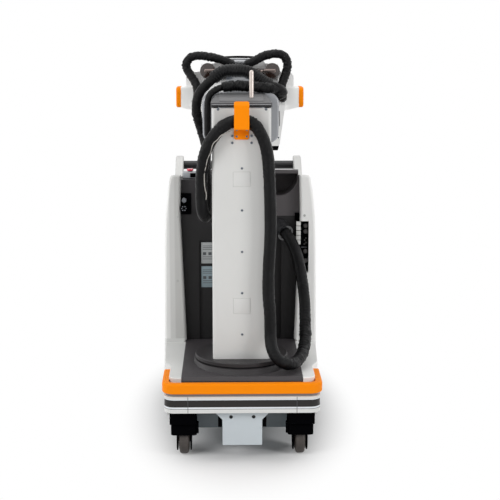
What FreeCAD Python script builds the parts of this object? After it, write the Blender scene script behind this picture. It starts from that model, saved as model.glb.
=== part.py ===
import FreeCAD, Part
import math
import os

# Portable x-ray machine on casters and drive wheels, with a turning, lifting mast.
# Millimetres. X runs across, Y runs back from the bumper's front face, Z is up from
# the floor. On export the whole is centred along Y.

V = FreeCAD.Vector

# Width and front of the cabinet, on which the cart is built, and clearances
CABINET_HALF = 222.0
CABINET_FRONT = 600.0
CABINET_BACK = CABINET_FRONT + 565.0
TOUCH = 0.3
RUNNING = 0.06
GAP = 5.0

# Bumper and the band under it
BUMPER_HALF = CABINET_HALF + 68.0
BUMPER_BOTTOM = 254.0
BUMPER_TOP = 293.0
BAND_TOP = 243.0
BUMPER_WALL = 24.0
BUMPER_CORNER = 46.0
BUMPER_ARM = 200.0
BUMPER_EDGE = 7.0
BAND_STEP = 7.0
BAND_WALL = 14.0
BAND_BOTTOM = 182.0
LIP_INSET = 6.0
GROOVE_DEPTH = 4.0
STRIP_BOTTOM = 205.0
STRIP_TOP = 231.0
STRIP_PROUD = 3.2
SKIRT_BOTTOM = 126.0
SKIRT_WALL = 7.0
SKIRT_START = 162.0

# Frame, pedestal and battery
FRAME_HALF = CABINET_HALF
FRAME_FRONT = 38.0
FRAME_BOTTOM = 176.0
FRAME_PLATE = 8.0
RAIL_WIDTH = 32.0
RAIL_HEIGHT = 52.0
POST_INSET = 4.0
PEDESTAL_RADIUS = 110.0
TRAY_HALF = FRAME_HALF - RAIL_WIDTH
TRAY_FRONT = 195.0
TRAY_BACK = CABINET_BACK - 265.0
TRAY_BOTTOM = 66.0
TRAY_WALL = 3.0
BATTERY_MARGIN = 8.0

# Steel plate at the front
PLATE_HALF = 72.0
PLATE_TOP_HALF = 94.0
PLATE_BOTTOM = 54.0
PLATE_FLARE_START = 150.0
PLATE_FLARE_END = 172.0
PLATE_THICK = 6.0
PLATE_HOLE_RADIUS = 7.0
PLATE_HOLE_SPACING = 82.0
PLATE_HOLE_Z = 160.0

# Casters
CASTER_X = BUMPER_HALF - 77.0
CASTER_PIVOT_Y = 85.0
CASTER_TRAIL = 23.0
CASTER_RADIUS = 58.0
CASTER_WIDTH = 38.0
CASTER_AXLE_RADIUS = 6.0
CASTER_HUB_RADIUS = 15.0
CASTER_SHOULDER = 16.0
CASTER_CROWN = 3.0
CROWN_SHARE = 0.8
FLAT_SHARE = 0.5
HOOD_HALF = 51.0
HOOD_INNER = 46.0
HOOD_FRONT = 30.0
HOOD_BACK = 142.0
HOOD_BOTTOM = 132.0
HOOD_CORNER = 8.0
STEM_RADIUS = 12.0
FORK_HALF = 47.0
FORK_CHEEK = 20.0
FORK_BOTTOM = 88.0
LEG_INNER = 22.0
LEG_HALF = 14.0
FORK_CROWN = 8.0
FORK_CORNER = 14.0
CROWN_GAP = 3.0
FORK_FRONT = 44.0
FORK_BACK = 60.0

# Drive wheels
DRIVE_Y = CABINET_BACK - 165.0
DRIVE_RADIUS = 150.0
DRIVE_RIM_RADIUS = 108.0
DRIVE_WIDTH = 54.0
DRIVE_INNER_X = CABINET_HALF + 6.0
DRIVE_AXLE_RADIUS = 20.0
ARCH_GAP = 14.0
TYRE_SHOULDER = 9.0
TYRE_ROUND = 8.0
RIM_WALL = 14.0
WEB_INNER = 20.0
WEB_OUTER = 10.0
HUB_INSET = 4.0
MOTOR_RADIUS = 46.0

# Platform, turntable and mast place
PLATFORM_TOP = 305.0
PLATFORM_HALF = CABINET_HALF - 1.5
PLATFORM_FRONT = 47.0
PLATFORM_SKIN = 6.0
PLATFORM_LIP_BOTTOM = 246.0
MAST_Y = 272.0
RING_HEIGHT = 17.0
RING_FOOT = (180.0, 212.0)
RING_TOP = (177.0, 187.0)
DISC_RADIUS = 174.0
DISC_HEIGHT = 14.0
DISC_LIFT = 4.0
DISC_HUB_RADIUS = 130.0

# Side panels
PANEL_FRONT = CABINET_FRONT - 40.0
PANEL_BACK = CABINET_BACK - 15.0
PANEL_BOTTOM = 130.0
PANEL_WALL = 20.0
PANEL_RETURN = 38.0
FLANK_TOP = 303.0
FLANK_FRONT = 45.0
FLANK_CORNER = 34.0
PANEL_EDGE = 10.0
FENDER_TOP = 979.0
FENDER_FALL = 84.0
PANEL_MIDDLE = CABINET_HALF + 36.0
PANEL_TIE = 30.0
TIE_Y = CABINET_FRONT + 200.0
TIE_Z = 500.0
LOW_TIE_Y = CABINET_FRONT + 40.0
LOW_TIE_Z = 200.0
FLANK_BACK_HALF = CABINET_HALF + 82.0

# Cabinet
CABINET_FACE_TOP = 990.0
RIM_Y = CABINET_FRONT + 12.0
RIM_TOP = 996.0
LOW_Y = CABINET_BACK - 125.0
CABINET_LOW = 925.0
UPPER_HALF = CABINET_HALF + 9.0
CHEEK_HALF = CABINET_HALF + 19.0
CHEEK_DROP = 22.0
CHEEK_BOTTOM = 330.0
CHEEK_BACK = CABINET_BACK - 75.0
CABINET_WALL = 6.0
CABINET_FACE = 26.0
RECESS_HALF = CABINET_HALF - 57.0
RECESS_TOP = 714.0
RECESS_DEPTH = 14.0
SCOOP_X = CABINET_HALF - 70.0
SCOOP_Z = 969.0
SCOOP_RADIUS = 76.5
SCOOP_DEPTH = 120.0
SCOOP_LIP = 9.0
REAR_COVER_THICK = 12.0
COVER_INSET = 4.0
COVER_BOTTOM = 240.0

# Fittings on the cabinet
GLAND_BASE = (CABINET_HALF - 72.0, CABINET_FRONT + 18.0, 775.0)
GLAND_MOUTH = (CABINET_HALF - 45.0, CABINET_FRONT - 38.0, 750.0)
GLAND_RADIUS = 33.0
GLAND_SINK = 4.0
LABEL_LEFT = -CABINET_HALF + 65.0
LABEL_RIGHT = LABEL_LEFT + 97.0
LABEL_THICK = 2.0
LABEL_HEIGHTS = ((616.0, 702.0), (518.0, 604.0))
BREAKER_LEFT = CABINET_HALF + 5.0
BREAKER_RIGHT = BREAKER_LEFT + 44.0
BREAKER_BOTTOM = 588.0
BREAKER_TOP = 794.0
SWITCH_COUNT = 5
SWITCH_BOTTOM = 700.0
SWITCH_PITCH = 19.0
SWITCH_PROUD = 9.0
KNOB_HEIGHTS = (775.0, 752.0, 672.0, 634.0)
SOCKET_LEFT = -CABINET_HALF - 14.0
SOCKET_RIGHT = SOCKET_LEFT + 41.0
SOCKET_BOTTOM = 819.0
SOCKET_TOP = 903.0
SOCKET_X = SOCKET_LEFT + 13.0
SOCKET_DEPTH = 6.0
PLUG_Z = 848.0
PLUG_RADIUS = 14.0
PLUG_REACH = 42.0
KNOB_Z = 877.0
KNOB_RADIUS = 9.0
KNOB_REACH = 24.0
STOP_X = -CABINET_HALF + 21.5
STOP_SETBACK = 72.0
STOP_Y = CABINET_FRONT + STOP_SETBACK
NOTCH_FLOOR = 957.0
NOTCH_RIGHT = STOP_X + 50.5
NOTCH_BACK = STOP_Y + 60.0
STOP_BLOCK_LEFT = STOP_X - 28.5
STOP_BLOCK_RIGHT = STOP_X + 28.5
STOP_BLOCK_HALF = 26.0
STOP_BLOCK_TOP = 982.0
STOP_NECK_RADIUS = 8.0
STOP_HEAD_RADIUS = 13.5
STOP_HEAD_BOTTOM = 985.0
STOP_HEAD_TOP = 993.0

# Console, bin and handle
CONSOLE_FRONT = CABINET_FRONT + 190.0
CONSOLE_BACK = CABINET_BACK - 135.0
CONSOLE_HALF = CABINET_HALF - 22.0
CONSOLE_RISE = 3.0
DISPLAY_HALF = CONSOLE_HALF - 35.0
DISPLAY_THICK = 6.0
DISPLAY_MARGIN = 14.0
BIN_HALF = CONSOLE_HALF
BIN_FRONT = CABINET_BACK - 115.0
BIN_BACK = CABINET_BACK - 19.0
BIN_BOTTOM = 660.0
BIN_WALL = 3.0
BIN_FLANGE = 4.0
BIN_RIM = 6.0
POST_INNER = CABINET_HALF + 24.0
POST_OUTER = POST_INNER + 34.0
POST_TOP = 985.0
POST_FRONT = CABINET_BACK - 67.0
POST_BOTTOM = 720.0
POST_SHOULDER = 850.0
POST_THICK = 28.0
POST_REACH = 192.0
POST_NOSE = 64.0
POST_EDGE = 5.0
LENGTH = POST_FRONT + POST_REACH
POST_ELBOW_Y = LENGTH - POST_NOSE
POST_BASE_ROUND = 40.0
BAR_RADIUS = 19.0
BAR_INSET = 38.0
BAR_DROP = 40.0
BAR_Y = LENGTH - BAR_INSET
BAR_Z = POST_TOP - BAR_DROP

# Mast
MAST_HALF = 107.0
MAST_FRONT = 167.0
MAST_BACK = 367.0
MAST_TOP = 1266.0
MAST_WALL = 6.0
MAST_FRONT_ROUND = 12.0
MAST_BACK_ROUND = 24.0
INNER_HALF = 84.0
INNER_FRONT = 194.0
INNER_BACK = 350.0
INNER_WALL = 8.0
INNER_BOTTOM_GAP = 8.0
INNER_ROUND = 10.0
INNER_HEAD = 60.0
PAD_LOW = 10.0
PAD_DROP = 60.0
PAD_START = 50.0
PAD_SIZE = 40.0
CAP_BOTTOM = MAST_TOP + 4.0
CAP_FRONT_TOP = CAP_BOTTOM + 15.0
CAP_BACK_TOP = CAP_BOTTOM + 38.0
CAP_TOP_HALF = 90.0
CAP_OVERHANG = 4.0
CAP_SIDE = 3.0
CAP_BEND = 64.0
CAP_BEND_DROP = 8.0
GUIDE_X = 37.0
GUIDE_Y = 230.0
GUIDE_RADIUS = 8.0
GUIDE_TOP = CAP_BACK_TOP + 91.0
GUIDE_FOOT = 10.0

# Hook for the hose
HOOK_HALF = 27.0
HOOK_PLATE = 4.0
HOOK_REACH = 59.0
HOOK_DROP = 74.0
HOOK_RISE = 100.0
HOOK_FOOT = 38.0
HOOK_SHELF = MAST_TOP - HOOK_DROP
HOOK_TOP = HOOK_SHELF + HOOK_RISE
HOOK_BOTTOM = HOOK_SHELF - HOOK_FOOT
HOOK_BEND = 14.0
HOOK_LIP = 22.0
HOOK_CORNER = 7.0

# Boom carriage and boom
BOOM_Z = CAP_BOTTOM + 13.0
CARRIAGE_GAP = 8.0
CARRIAGE_DEPTH = 72.0
CARRIAGE_TOP_HALF = 145.0
CARRIAGE_BOTTOM_HALF = 142.0
CARRIAGE_TOP = BOOM_Z + 29.0
CARRIAGE_LOW_ROUND = 34.0
CARRIAGE_HIGH_ROUND = 44.0
CARRIAGE_EDGE = 8.0
CARRIAGE_FLOOR = 10.0
CARRIAGE_BOTTOM = BOOM_Z - 159.0
SLEEVE_HALF = 56.0
SLEEVE_HEIGHT = 42.0
SLEEVE_BACK = 520.0
BOOM_WALL = 5.0
BOOM_CLEAR = 1.0
BOOM_STEP = 2.0
BOOM_PAD_HALF = 20.0
BOOM_PAD_LENGTH = 30.0
STAGE_BACK = 526.0
ARM_BACK = 532.0
FLANGE_THICK = 8.0

# Tube head
HEAD_Y = 680.0
HOUSING_RADIUS = 78.0
HOUSING_HALF = 150.0
YOKE_RING_RADIUS = 97.0
YOKE_HALF = 54.0
YOKE_NECK = 26.0
YOKE_DISC_RADIUS = 44.0
YOKE_WRAP = 30.0
CHANNEL_RADIUS = 101.0
CHANNEL_HALF = 60.0
WING_END = 233.0
WING_DEPTH = 100.0
WING_TOP = BOOM_Z + 37.0
WING_END_BOTTOM = BOOM_Z - 42.0
WING_ROOT_BOTTOM = BOOM_Z - 63.0
CAP_WIDTH = 19.0
WING_EDGE = 6.0
END_CAP_ROUND = 20.0
END_CAP_EDGE = 7.0
COVER_HALF = 213.0
COVER_FRONT = HEAD_Y - 25.0
COVER_BACK = HEAD_Y + 62.0
COVER_SHOULDER = BOOM_Z + 91.0
COVER_TOP = BOOM_Z + 148.0
COVER_CROWN = 88.0
SHROUD_TOP_HALF = 178.0
SHROUD_BOTTOM_HALF = 156.0
SHROUD_TOP = BOOM_Z - 31.0
SHROUD_BOTTOM = BOOM_Z - 193.0
SHROUD_DEPTH = 150.0
RAIL_DROP = 18.0
RAIL_WIDE = 24.0
RAIL_LIP = 6.0
RAIL_LEDGE = 8.0
TURRET_RADIUS = 64.0
TURRET_DEPTH = 22.0
TURRET_DROP = 14.0
HV_X = 126.0
HV_Z = BOOM_Z + 102.0
HV_RADIUS = 29.0
HV_LENGTH = 62.0
HV_ROUND = 5.0
STUB_RADIUS = 9.0
STUB_REACH = 58.0
BRIDGE_BOTTOM = BOOM_Z + 75.0
BRIDGE_TOP = BOOM_Z + 109.0
BRIDGE_DEPTH = 33.0

# Display on the tube head
DISPLAY_WIDE = 96.0
DISPLAY_HEIGHT = 82.0
DISPLAY_CROWN = 5.0
DISPLAY_DEEP = 14.0
DISPLAY_TILT = 8.0
DISPLAY_BACK = 14.2
DISPLAY_FOOT = BOOM_Z + 70.0
BRACKET_HALF = 60.0
BRACKET_HEIGHT = 10.0

# Hoses and cables, their points chosen along the real routes
HOSE = 44.0
RETURN_HOSE = 36.0
EAR_CABLE = 33.0
FRONT_SLEEVE = 24.0

# x, y, z of each point, from the gland down to the platform and up to the parting
HOSE_LOWER = [
    (177.0, 562.0, 750.0), (189.15, 536.8, 738.75), (212.0, 508.0, 700.0),
    (230.0, 486.0, 645.0), (241.0, 459.0, 575.0), (249.0, 422.0, 505.0),
    (248.0, 375.0, 440.0), (245.0, 304.0, 385.0), (233.0, 226.0, 349.0),
    (204.0, 146.0, 334.0), (173.0, 98.0, 336.0), (135.0, 84.0, 352.0),
    (109.0, 104.0, 392.0), (104.0, 131.0, 432.0), (104.0, 131.0, 465.0),
]
# From the parting up the mast, over the hook and down to the turn at the left
HOSE_UPPER = [
    (104.0, 131.0, 465.0), (104.0, 131.0, 510.0), (96.0, 136.0, 592.0),
    (98.0, 138.0, 700.0), (105.0, 138.0, 810.0), (103.0, 138.0, 930.0),
    (99.0, 138.0, 1040.0), (91.0, 139.0, 1124.0), (66.0, 140.0, 1187.0),
    (32.0, 140.0, 1223.0), (-24.0, 140.0, 1225.0), (-68.0, 140.0, 1204.0),
    (-105.0, 140.0, 1163.0), (-133.0, 150.0, 1108.0), (-144.0, 182.0, 1036.0),
    (-147.0, 200.0, 960.0), (-145.0, 203.0, 900.0), (-139.0, 211.0, 875.0),
    (-132.0, 232.0, 862.0), (-132.0, 260.0, 862.0),
]
# From that turn up behind the mast, round the carriage and over its top
HOSE_RETURN = [
    (-132.0, 260.0, 862.0), (-132.0, 288.0, 862.0), (-131.0, 314.0, 888.0),
    (-130.5, 330.0, 945.0), (-130.5, 376.0, 1030.0), (-130.5, 452.0, 1090.0),
    (-141.0, 476.0, 1140.0), (-156.0, 468.0, 1184.0), (-168.0, 444.0, 1230.0),
    (-168.0, 430.0, 1270.0), (-156.0, 430.0, 1310.0), (-126.0, 430.0, 1341.0),
    (-96.0, 430.0, 1368.0), (-64.0, 430.0, 1391.0), (-14.0, 430.0, 1392.0),
    (32.0, 430.0, 1388.0), (70.0, 428.0, 1360.0), (106.0, 420.0, 1338.0),
    (142.0, 414.0, 1326.0), (165.0, 438.0, 1310.0), (150.0, 474.0, 1294.0),
    (106.0, 492.0, 1288.0), (56.0, 492.0, 1288.0),
]
# Thin sleeve from the carriage's face up the mast's left edge and over the cap
SLEEVE_FRONT = [
    (-124.5, 375.0, 1152.0), (-124.5, 356.0, 1152.0), (-124.5, 345.0, 1174.0),
    (-124.5, 345.0, 1281.0), (-115.0, 348.0, 1307.0), (-88.0, 352.0, 1326.0),
    (-52.0, 355.0, 1336.0), (-10.0, 356.0, 1338.0), (34.0, 358.0, 1335.0),
    (74.0, 366.0, 1331.0), (110.0, 386.0, 1327.0), (142.0, 414.0, 1323.0),
]
# Cable ears on the tube head, from the cover's front round to the wing's front
EAR_LEFT = [
    (-34.0, 655.0, 1412.0), (-34.0, 627.0, 1412.0), (-60.0, 616.0, 1424.0),
    (-94.0, 614.0, 1434.0), (-134.0, 617.0, 1441.0), (-172.0, 619.0, 1444.0),
    (-204.0, 620.0, 1430.0), (-214.0, 620.0, 1398.0), (-187.0, 612.0, 1358.0),
    (-169.0, 600.0, 1330.0), (-166.0, 592.0, 1300.0), (-168.5, 606.0, 1278.0),
    (-168.5, 630.0, 1278.0),
]
EAR_RIGHT = [
    (30.0, 655.0, 1410.0), (30.0, 627.0, 1410.0), (56.0, 616.0, 1422.0),
    (92.0, 614.0, 1442.0), (132.0, 617.0, 1452.0), (168.0, 619.0, 1448.0),
    (187.0, 620.0, 1424.0), (186.0, 620.0, 1388.0), (172.0, 612.0, 1352.0),
    (162.0, 600.0, 1324.0), (166.0, 591.0, 1298.0), (168.5, 606.0, 1277.0),
    (168.5, 630.0, 1277.0),
]


def box(x0, x1, y0, y1, z0, z1):
    return Part.makeBox(x1 - x0, y1 - y0, z1 - z0, V(x0, y0, z0))


def cylinder(radius, start, end):
    axis = V(*end) - V(*start)
    return Part.makeCylinder(radius, axis.Length, V(*start), axis)


def ring(outer, inner, start, end):
    return cylinder(outer, start, end).cut(cylinder(inner, start, end))


def rounded_wire(corners):
    """Closed wire through (point, radius) corners, with an arc at each rounded one."""
    count = len(corners)
    pieces = []
    for index, (point, radius) in enumerate(corners):
        before = (corners[index - 1][0] - point).normalize()
        after = (corners[(index + 1) % count][0] - point).normalize()
        if radius <= 0:
            pieces.append((point, None, point))
            continue
        half = before.getAngle(after) / 2
        reach = radius / math.tan(half)
        centre = point + (before + after).normalize() * (radius / math.sin(half))
        middle = centre + (point - centre).normalize() * radius
        pieces.append((point + before * reach, middle, point + after * reach))
    edges = []
    for index, (start, middle, end) in enumerate(pieces):
        if middle is not None:
            edges.append(Part.Arc(start, middle, end).toShape())
        following = pieces[(index + 1) % count][0]
        if (following - end).Length > 1e-6:
            edges.append(Part.LineSegment(end, following).toShape())
    return Part.Wire(edges)


def prism(plane, corners, start, end):
    """Outline of (a, b, radius) corners in the plane xy, xz or yz, run along the third axis."""
    places = {
        "xy": (lambda a, b: V(a, b, start), V(0, 0, end - start)),
        "xz": (lambda a, b: V(a, start, b), V(0, end - start, 0)),
        "yz": (lambda a, b: V(start, a, b), V(end - start, 0, 0)),
    }
    place, run = places[plane]
    wire = rounded_wire([(place(a, b), radius) for a, b, radius in corners])
    return Part.Face(wire).extrude(run)


def mirrored(shape):
    return shape.mirror(V(0, 0, 0), V(1, 0, 0))


def both_sides(shape):
    return Part.makeCompound([shape, mirrored(shape)])


def filleted(shape, radius, wanted):
    """Rounds the edges whose middle point passes the test."""
    edges = []
    for edge in shape.Edges:
        first, last = edge.ParameterRange
        if wanted(edge.valueAt((first + last) / 2), edge):
            edges.append(edge)
    return shape.makeFillet(radius, edges)


def wrap(half, front, wall, corner, end, bottom, top):
    """C-shaped wall round the front of the machine, its arms running back to end."""
    inner = half - wall
    inner_corner = max(corner - wall, 1.0)
    corners = [
        (-half, end, 0), (-half, front, corner), (half, front, corner), (half, end, 0),
        (inner, end, 0), (inner, front + wall, inner_corner),
        (-inner, front + wall, inner_corner), (-inner, end, 0),
    ]
    return prism("xy", corners, bottom, top)


def tube(name, points, diameter):
    """Hose along straight runs joined by tangent arcs, as large as the runs allow."""
    route = [V(*point) for point in points]
    edges = []
    radii = []
    last = route[0]
    for index in range(1, len(route) - 1):
        point = route[index]
        before = route[index - 1] - point
        after = route[index + 1] - point
        turn = math.pi - before.getAngle(after)
        reach = 0.45 * min(before.Length, after.Length)
        radius = reach / math.tan(turn / 2)
        before.normalize()
        after.normalize()
        start = point + before * reach
        end = point + after * reach
        centre = point + (before + after).normalize() * math.hypot(radius, reach)
        middle = centre + (point - centre).normalize() * radius
        edges.append(Part.LineSegment(last, start).toShape())
        edges.append(Part.Arc(start, middle, end).toShape())
        radii.append(radius)
        last = end
    edges.append(Part.LineSegment(last, route[-1]).toShape())
    path = Part.Wire(edges)
    direction = (route[1] - route[0]).normalize()
    section = Part.Wire([Part.Circle(route[0], direction, diameter / 2).toShape()])
    solid = path.makePipeShell([section], True, False)
    expected = math.pi * (diameter / 2) ** 2 * path.Length
    print(name, "length", round(path.Length), "radii", [round(r) for r in radii],
          "volume ratio", round(solid.Volume / expected, 4))
    return solid


def make_frame():
    plate_top = FRAME_BOTTOM + FRAME_PLATE
    rail_top = plate_top + RAIL_HEIGHT
    plate = box(-FRAME_HALF, FRAME_HALF, FRAME_FRONT, CABINET_BACK, FRAME_BOTTOM, plate_top)
    inner = FRAME_HALF - RAIL_WIDTH
    rails = [
        box(inner, FRAME_HALF, FRAME_FRONT, CABINET_BACK, plate_top, rail_top),
        box(-FRAME_HALF, -inner, FRAME_FRONT, CABINET_BACK, plate_top, rail_top),
        box(-inner, inner, FRAME_FRONT, FRAME_FRONT + RAIL_WIDTH, plate_top, rail_top),
    ]
    pedestal = cylinder(PEDESTAL_RADIUS, (0, MAST_Y, plate_top),
                        (0, MAST_Y, PLATFORM_TOP - PLATFORM_SKIN))
    posts = []
    post_y = CABINET_FRONT - RAIL_WIDTH
    for side in (-1, 1):
        post_x = side * (FRAME_HALF - RAIL_WIDTH / 2 - POST_INSET)
        posts.append(box(post_x - RAIL_WIDTH / 2, post_x + RAIL_WIDTH / 2, post_y,
                         CABINET_FRONT, rail_top, PLATFORM_TOP - PLATFORM_SKIN))
    return plate.multiFuse(rails + [pedestal] + posts).removeSplitter()


def make_battery_tray():
    outer = box(-TRAY_HALF, TRAY_HALF, TRAY_FRONT, TRAY_BACK, TRAY_BOTTOM, FRAME_BOTTOM)
    inner = box(-TRAY_HALF + TRAY_WALL, TRAY_HALF - TRAY_WALL, TRAY_FRONT + TRAY_WALL,
                TRAY_BACK - TRAY_WALL, TRAY_BOTTOM + TRAY_WALL, FRAME_BOTTOM)
    return outer.cut(inner)


def make_battery():
    edge = TRAY_HALF - TRAY_WALL - BATTERY_MARGIN
    return box(-edge, edge, TRAY_FRONT + TRAY_WALL + BATTERY_MARGIN,
               TRAY_BACK - TRAY_WALL - BATTERY_MARGIN, TRAY_BOTTOM + TRAY_WALL,
               FRAME_BOTTOM - BATTERY_MARGIN)


def make_bumper():
    shape = wrap(BUMPER_HALF, 0.0, BUMPER_WALL, BUMPER_CORNER, BUMPER_ARM,
                 BUMPER_BOTTOM, BUMPER_TOP)
    near = BUMPER_WALL / 2

    def outer_rim(point, edge):
        level = abs(point.z - BUMPER_BOTTOM) < 0.01 or abs(point.z - BUMPER_TOP) < 0.01
        outside = abs(point.x) > BUMPER_HALF - near or point.y < near
        corner = math.hypot(abs(point.x) - BUMPER_HALF + BUMPER_CORNER,
                            point.y - BUMPER_CORNER) > BUMPER_CORNER - 1
        at_corner = abs(point.x) > BUMPER_HALF - BUMPER_CORNER and point.y < BUMPER_CORNER
        return level and point.y < BUMPER_ARM - 1 and (outside or (at_corner and corner))

    return filleted(shape, BUMPER_EDGE, outer_rim)


def band_wrap(inset, wall, end, bottom, top):
    half = BUMPER_HALF - BAND_STEP - inset
    corner = BUMPER_CORNER - BAND_STEP - inset
    return wrap(half, BAND_STEP + inset, wall, corner, end, bottom, top)


def make_band():
    shape = band_wrap(0, BAND_WALL, PANEL_FRONT, BAND_BOTTOM, BAND_TOP)
    lip = band_wrap(LIP_INSET, BAND_WALL - LIP_INSET, BUMPER_ARM, BAND_TOP, BUMPER_BOTTOM)
    groove = band_wrap(-1.0, GROOVE_DEPTH + 1.0, PANEL_FRONT, STRIP_BOTTOM, STRIP_TOP)
    shape = shape.cut(groove).fuse(lip)
    outer = BUMPER_HALF - BAND_STEP - SKIRT_WALL / 2
    skirt = box(outer - SKIRT_WALL, outer, SKIRT_START, PANEL_FRONT, SKIRT_BOTTOM,
                BAND_BOTTOM)
    shape = shape.multiFuse([skirt, mirrored(skirt)])
    inner = BUMPER_HALF - BAND_STEP - BAND_WALL
    cradle = box(FRAME_HALF, inner, PANEL_FRONT - RAIL_WIDTH, PANEL_FRONT, BAND_BOTTOM,
                 BAND_BOTTOM + RAIL_WIDTH)
    front_tie = box(-PLATFORM_HALF, PLATFORM_HALF, BAND_STEP + BAND_WALL, FRAME_FRONT,
                    FRAME_BOTTOM + FRAME_PLATE + RAIL_HEIGHT, BAND_TOP)
    rear_tie = box(-PLATFORM_HALF, PLATFORM_HALF, FRAME_FRONT, FRAME_FRONT + RAIL_WIDTH,
                   FRAME_BOTTOM + FRAME_PLATE + RAIL_HEIGHT, BAND_TOP)
    ties = [cradle, mirrored(cradle), front_tie, rear_tie]
    return shape.multiFuse(ties).removeSplitter()


def make_strip():
    inset = GROOVE_DEPTH - STRIP_PROUD
    return band_wrap(inset, STRIP_PROUD, PANEL_FRONT, STRIP_BOTTOM, STRIP_TOP)


def make_front_plate():
    top = FRAME_BOTTOM + FRAME_PLATE + RAIL_HEIGHT
    right = [(PLATE_HALF, PLATE_BOTTOM, 3), (PLATE_HALF, PLATE_FLARE_START, 4),
             (PLATE_TOP_HALF, PLATE_FLARE_END, 4), (PLATE_TOP_HALF, top, 0)]
    left = [(-x, z, radius) for x, z, radius in reversed(right)]
    plate = prism("xz", right + left, FRAME_FRONT - PLATE_THICK, FRAME_FRONT)
    for side in (-1, 1):
        x = side * PLATE_HOLE_SPACING / 2
        hole = cylinder(PLATE_HOLE_RADIUS, (x, FRAME_FRONT - 2 * PLATE_THICK, PLATE_HOLE_Z),
                        (x, FRAME_FRONT + PLATE_THICK, PLATE_HOLE_Z))
        plate = plate.cut(hole)
    return plate


def make_caster_hood(x):
    corners = [(x - HOOD_INNER, HOOD_FRONT, HOOD_CORNER), (x + HOOD_HALF, HOOD_FRONT, HOOD_CORNER),
               (x + HOOD_HALF, HOOD_BACK, HOOD_CORNER), (x - HOOD_INNER, HOOD_BACK, HOOD_CORNER)]
    hood = prism("xy", corners, HOOD_BOTTOM, FRAME_BOTTOM)
    bore = cylinder(STEM_RADIUS + RUNNING, (x, CASTER_PIVOT_Y, HOOD_BOTTOM),
                    (x, CASTER_PIVOT_Y, FRAME_BOTTOM))
    return hood.cut(bore)


def make_caster_fork(x):
    crown_bottom = 2 * CASTER_RADIUS + CROWN_GAP
    crown_top = crown_bottom + FORK_CROWN
    front = CASTER_PIVOT_Y - FORK_FRONT
    back = CASTER_PIVOT_Y + FORK_BACK
    corners = [(x - FORK_HALF, front, FORK_CORNER), (x + FORK_HALF, front, FORK_CORNER),
               (x + FORK_HALF, back, FORK_CORNER), (x - FORK_HALF, back, FORK_CORNER)]
    body = prism("xy", corners, FORK_BOTTOM, crown_top)
    throat = FORK_HALF - FORK_CHEEK
    body = body.cut(box(x - throat, x + throat, front + FORK_CROWN, back + 1, 0, crown_bottom))
    stem = cylinder(STEM_RADIUS, (x, CASTER_PIVOT_Y, crown_top - 1),
                    (x, CASTER_PIVOT_Y, FRAME_BOTTOM - GAP))
    race = cylinder(2 * STEM_RADIUS, (x, CASTER_PIVOT_Y, crown_top - 1),
                    (x, CASTER_PIVOT_Y, HOOD_BOTTOM))
    axle_y = CASTER_PIVOT_Y + CASTER_TRAIL
    axle = cylinder(CASTER_AXLE_RADIUS, (x - throat, axle_y, CASTER_RADIUS),
                    (x + throat, axle_y, CASTER_RADIUS))
    legs = []
    for side in (-1, 1):
        near, far = sorted((x + side * LEG_INNER, x + side * throat))
        legs.append(box(near, far, axle_y - LEG_HALF, axle_y + LEG_HALF, CASTER_RADIUS,
                        crown_bottom))
        legs.append(cylinder(LEG_HALF, (near, axle_y, CASTER_RADIUS),
                             (far, axle_y, CASTER_RADIUS)))
    return body.multiFuse([stem, race, axle] + legs).removeSplitter()


def make_caster_wheel(x):
    y = CASTER_PIVOT_Y + CASTER_TRAIL
    half = CASTER_WIDTH / 2
    bore = CASTER_AXLE_RADIUS + RUNNING
    shoulder = CASTER_RADIUS - CASTER_SHOULDER
    crown = CASTER_RADIUS - CASTER_CROWN
    # across, out from the axle
    section = [(-LEG_INNER, bore), (LEG_INNER, bore), (LEG_INNER, CASTER_HUB_RADIUS),
               (half, CASTER_HUB_RADIUS), (half, shoulder), (half * CROWN_SHARE, crown),
               (half * FLAT_SHARE, CASTER_RADIUS), (-half * FLAT_SHARE, CASTER_RADIUS),
               (-half * CROWN_SHARE, crown), (-half, shoulder), (-half, CASTER_HUB_RADIUS),
               (-LEG_INNER, CASTER_HUB_RADIUS)]
    corners = [(V(x + across, y, CASTER_RADIUS + out), 0) for across, out in section]
    wheel_face = Part.Face(rounded_wire(corners))
    return wheel_face.revolve(V(x, y, CASTER_RADIUS), V(1, 0, 0), 360)


def make_drive_tyre():
    half = DRIVE_WIDTH / 2
    x = DRIVE_INNER_X + half
    shoulder = DRIVE_RADIUS - TYRE_SHOULDER
    section = [(-half, DRIVE_RIM_RADIUS, 0), (half, DRIVE_RIM_RADIUS, 0), (half, shoulder, TYRE_ROUND),
               (half - TYRE_ROUND, DRIVE_RADIUS, TYRE_ROUND),
               (TYRE_ROUND - half, DRIVE_RADIUS, TYRE_ROUND), (-half, shoulder, TYRE_ROUND)]
    corners = [(V(x + across, DRIVE_Y, DRIVE_RADIUS + out), radius)
               for across, out, radius in section]
    tyre_face = Part.Face(rounded_wire(corners))
    return tyre_face.revolve(V(x, DRIVE_Y, DRIVE_RADIUS), V(1, 0, 0), 360)


def make_drive_rim():
    outer_x = DRIVE_INNER_X + DRIVE_WIDTH
    axis = (DRIVE_Y, DRIVE_RADIUS)
    barrel = ring(DRIVE_RIM_RADIUS, DRIVE_RIM_RADIUS - RIM_WALL, (DRIVE_INNER_X,) + axis,
                  (outer_x,) + axis)
    web = cylinder(DRIVE_RIM_RADIUS - RIM_WALL + 1, (DRIVE_INNER_X + WEB_INNER,) + axis,
                   (outer_x - WEB_OUTER,) + axis)
    hub = cylinder(2 * DRIVE_AXLE_RADIUS, (DRIVE_INNER_X,) + axis, (outer_x - HUB_INSET,) + axis)
    bore = cylinder(DRIVE_AXLE_RADIUS + RUNNING, (DRIVE_INNER_X - 1,) + axis,
                    (outer_x + 1,) + axis)
    return barrel.multiFuse([web, hub]).cut(bore).removeSplitter()


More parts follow.
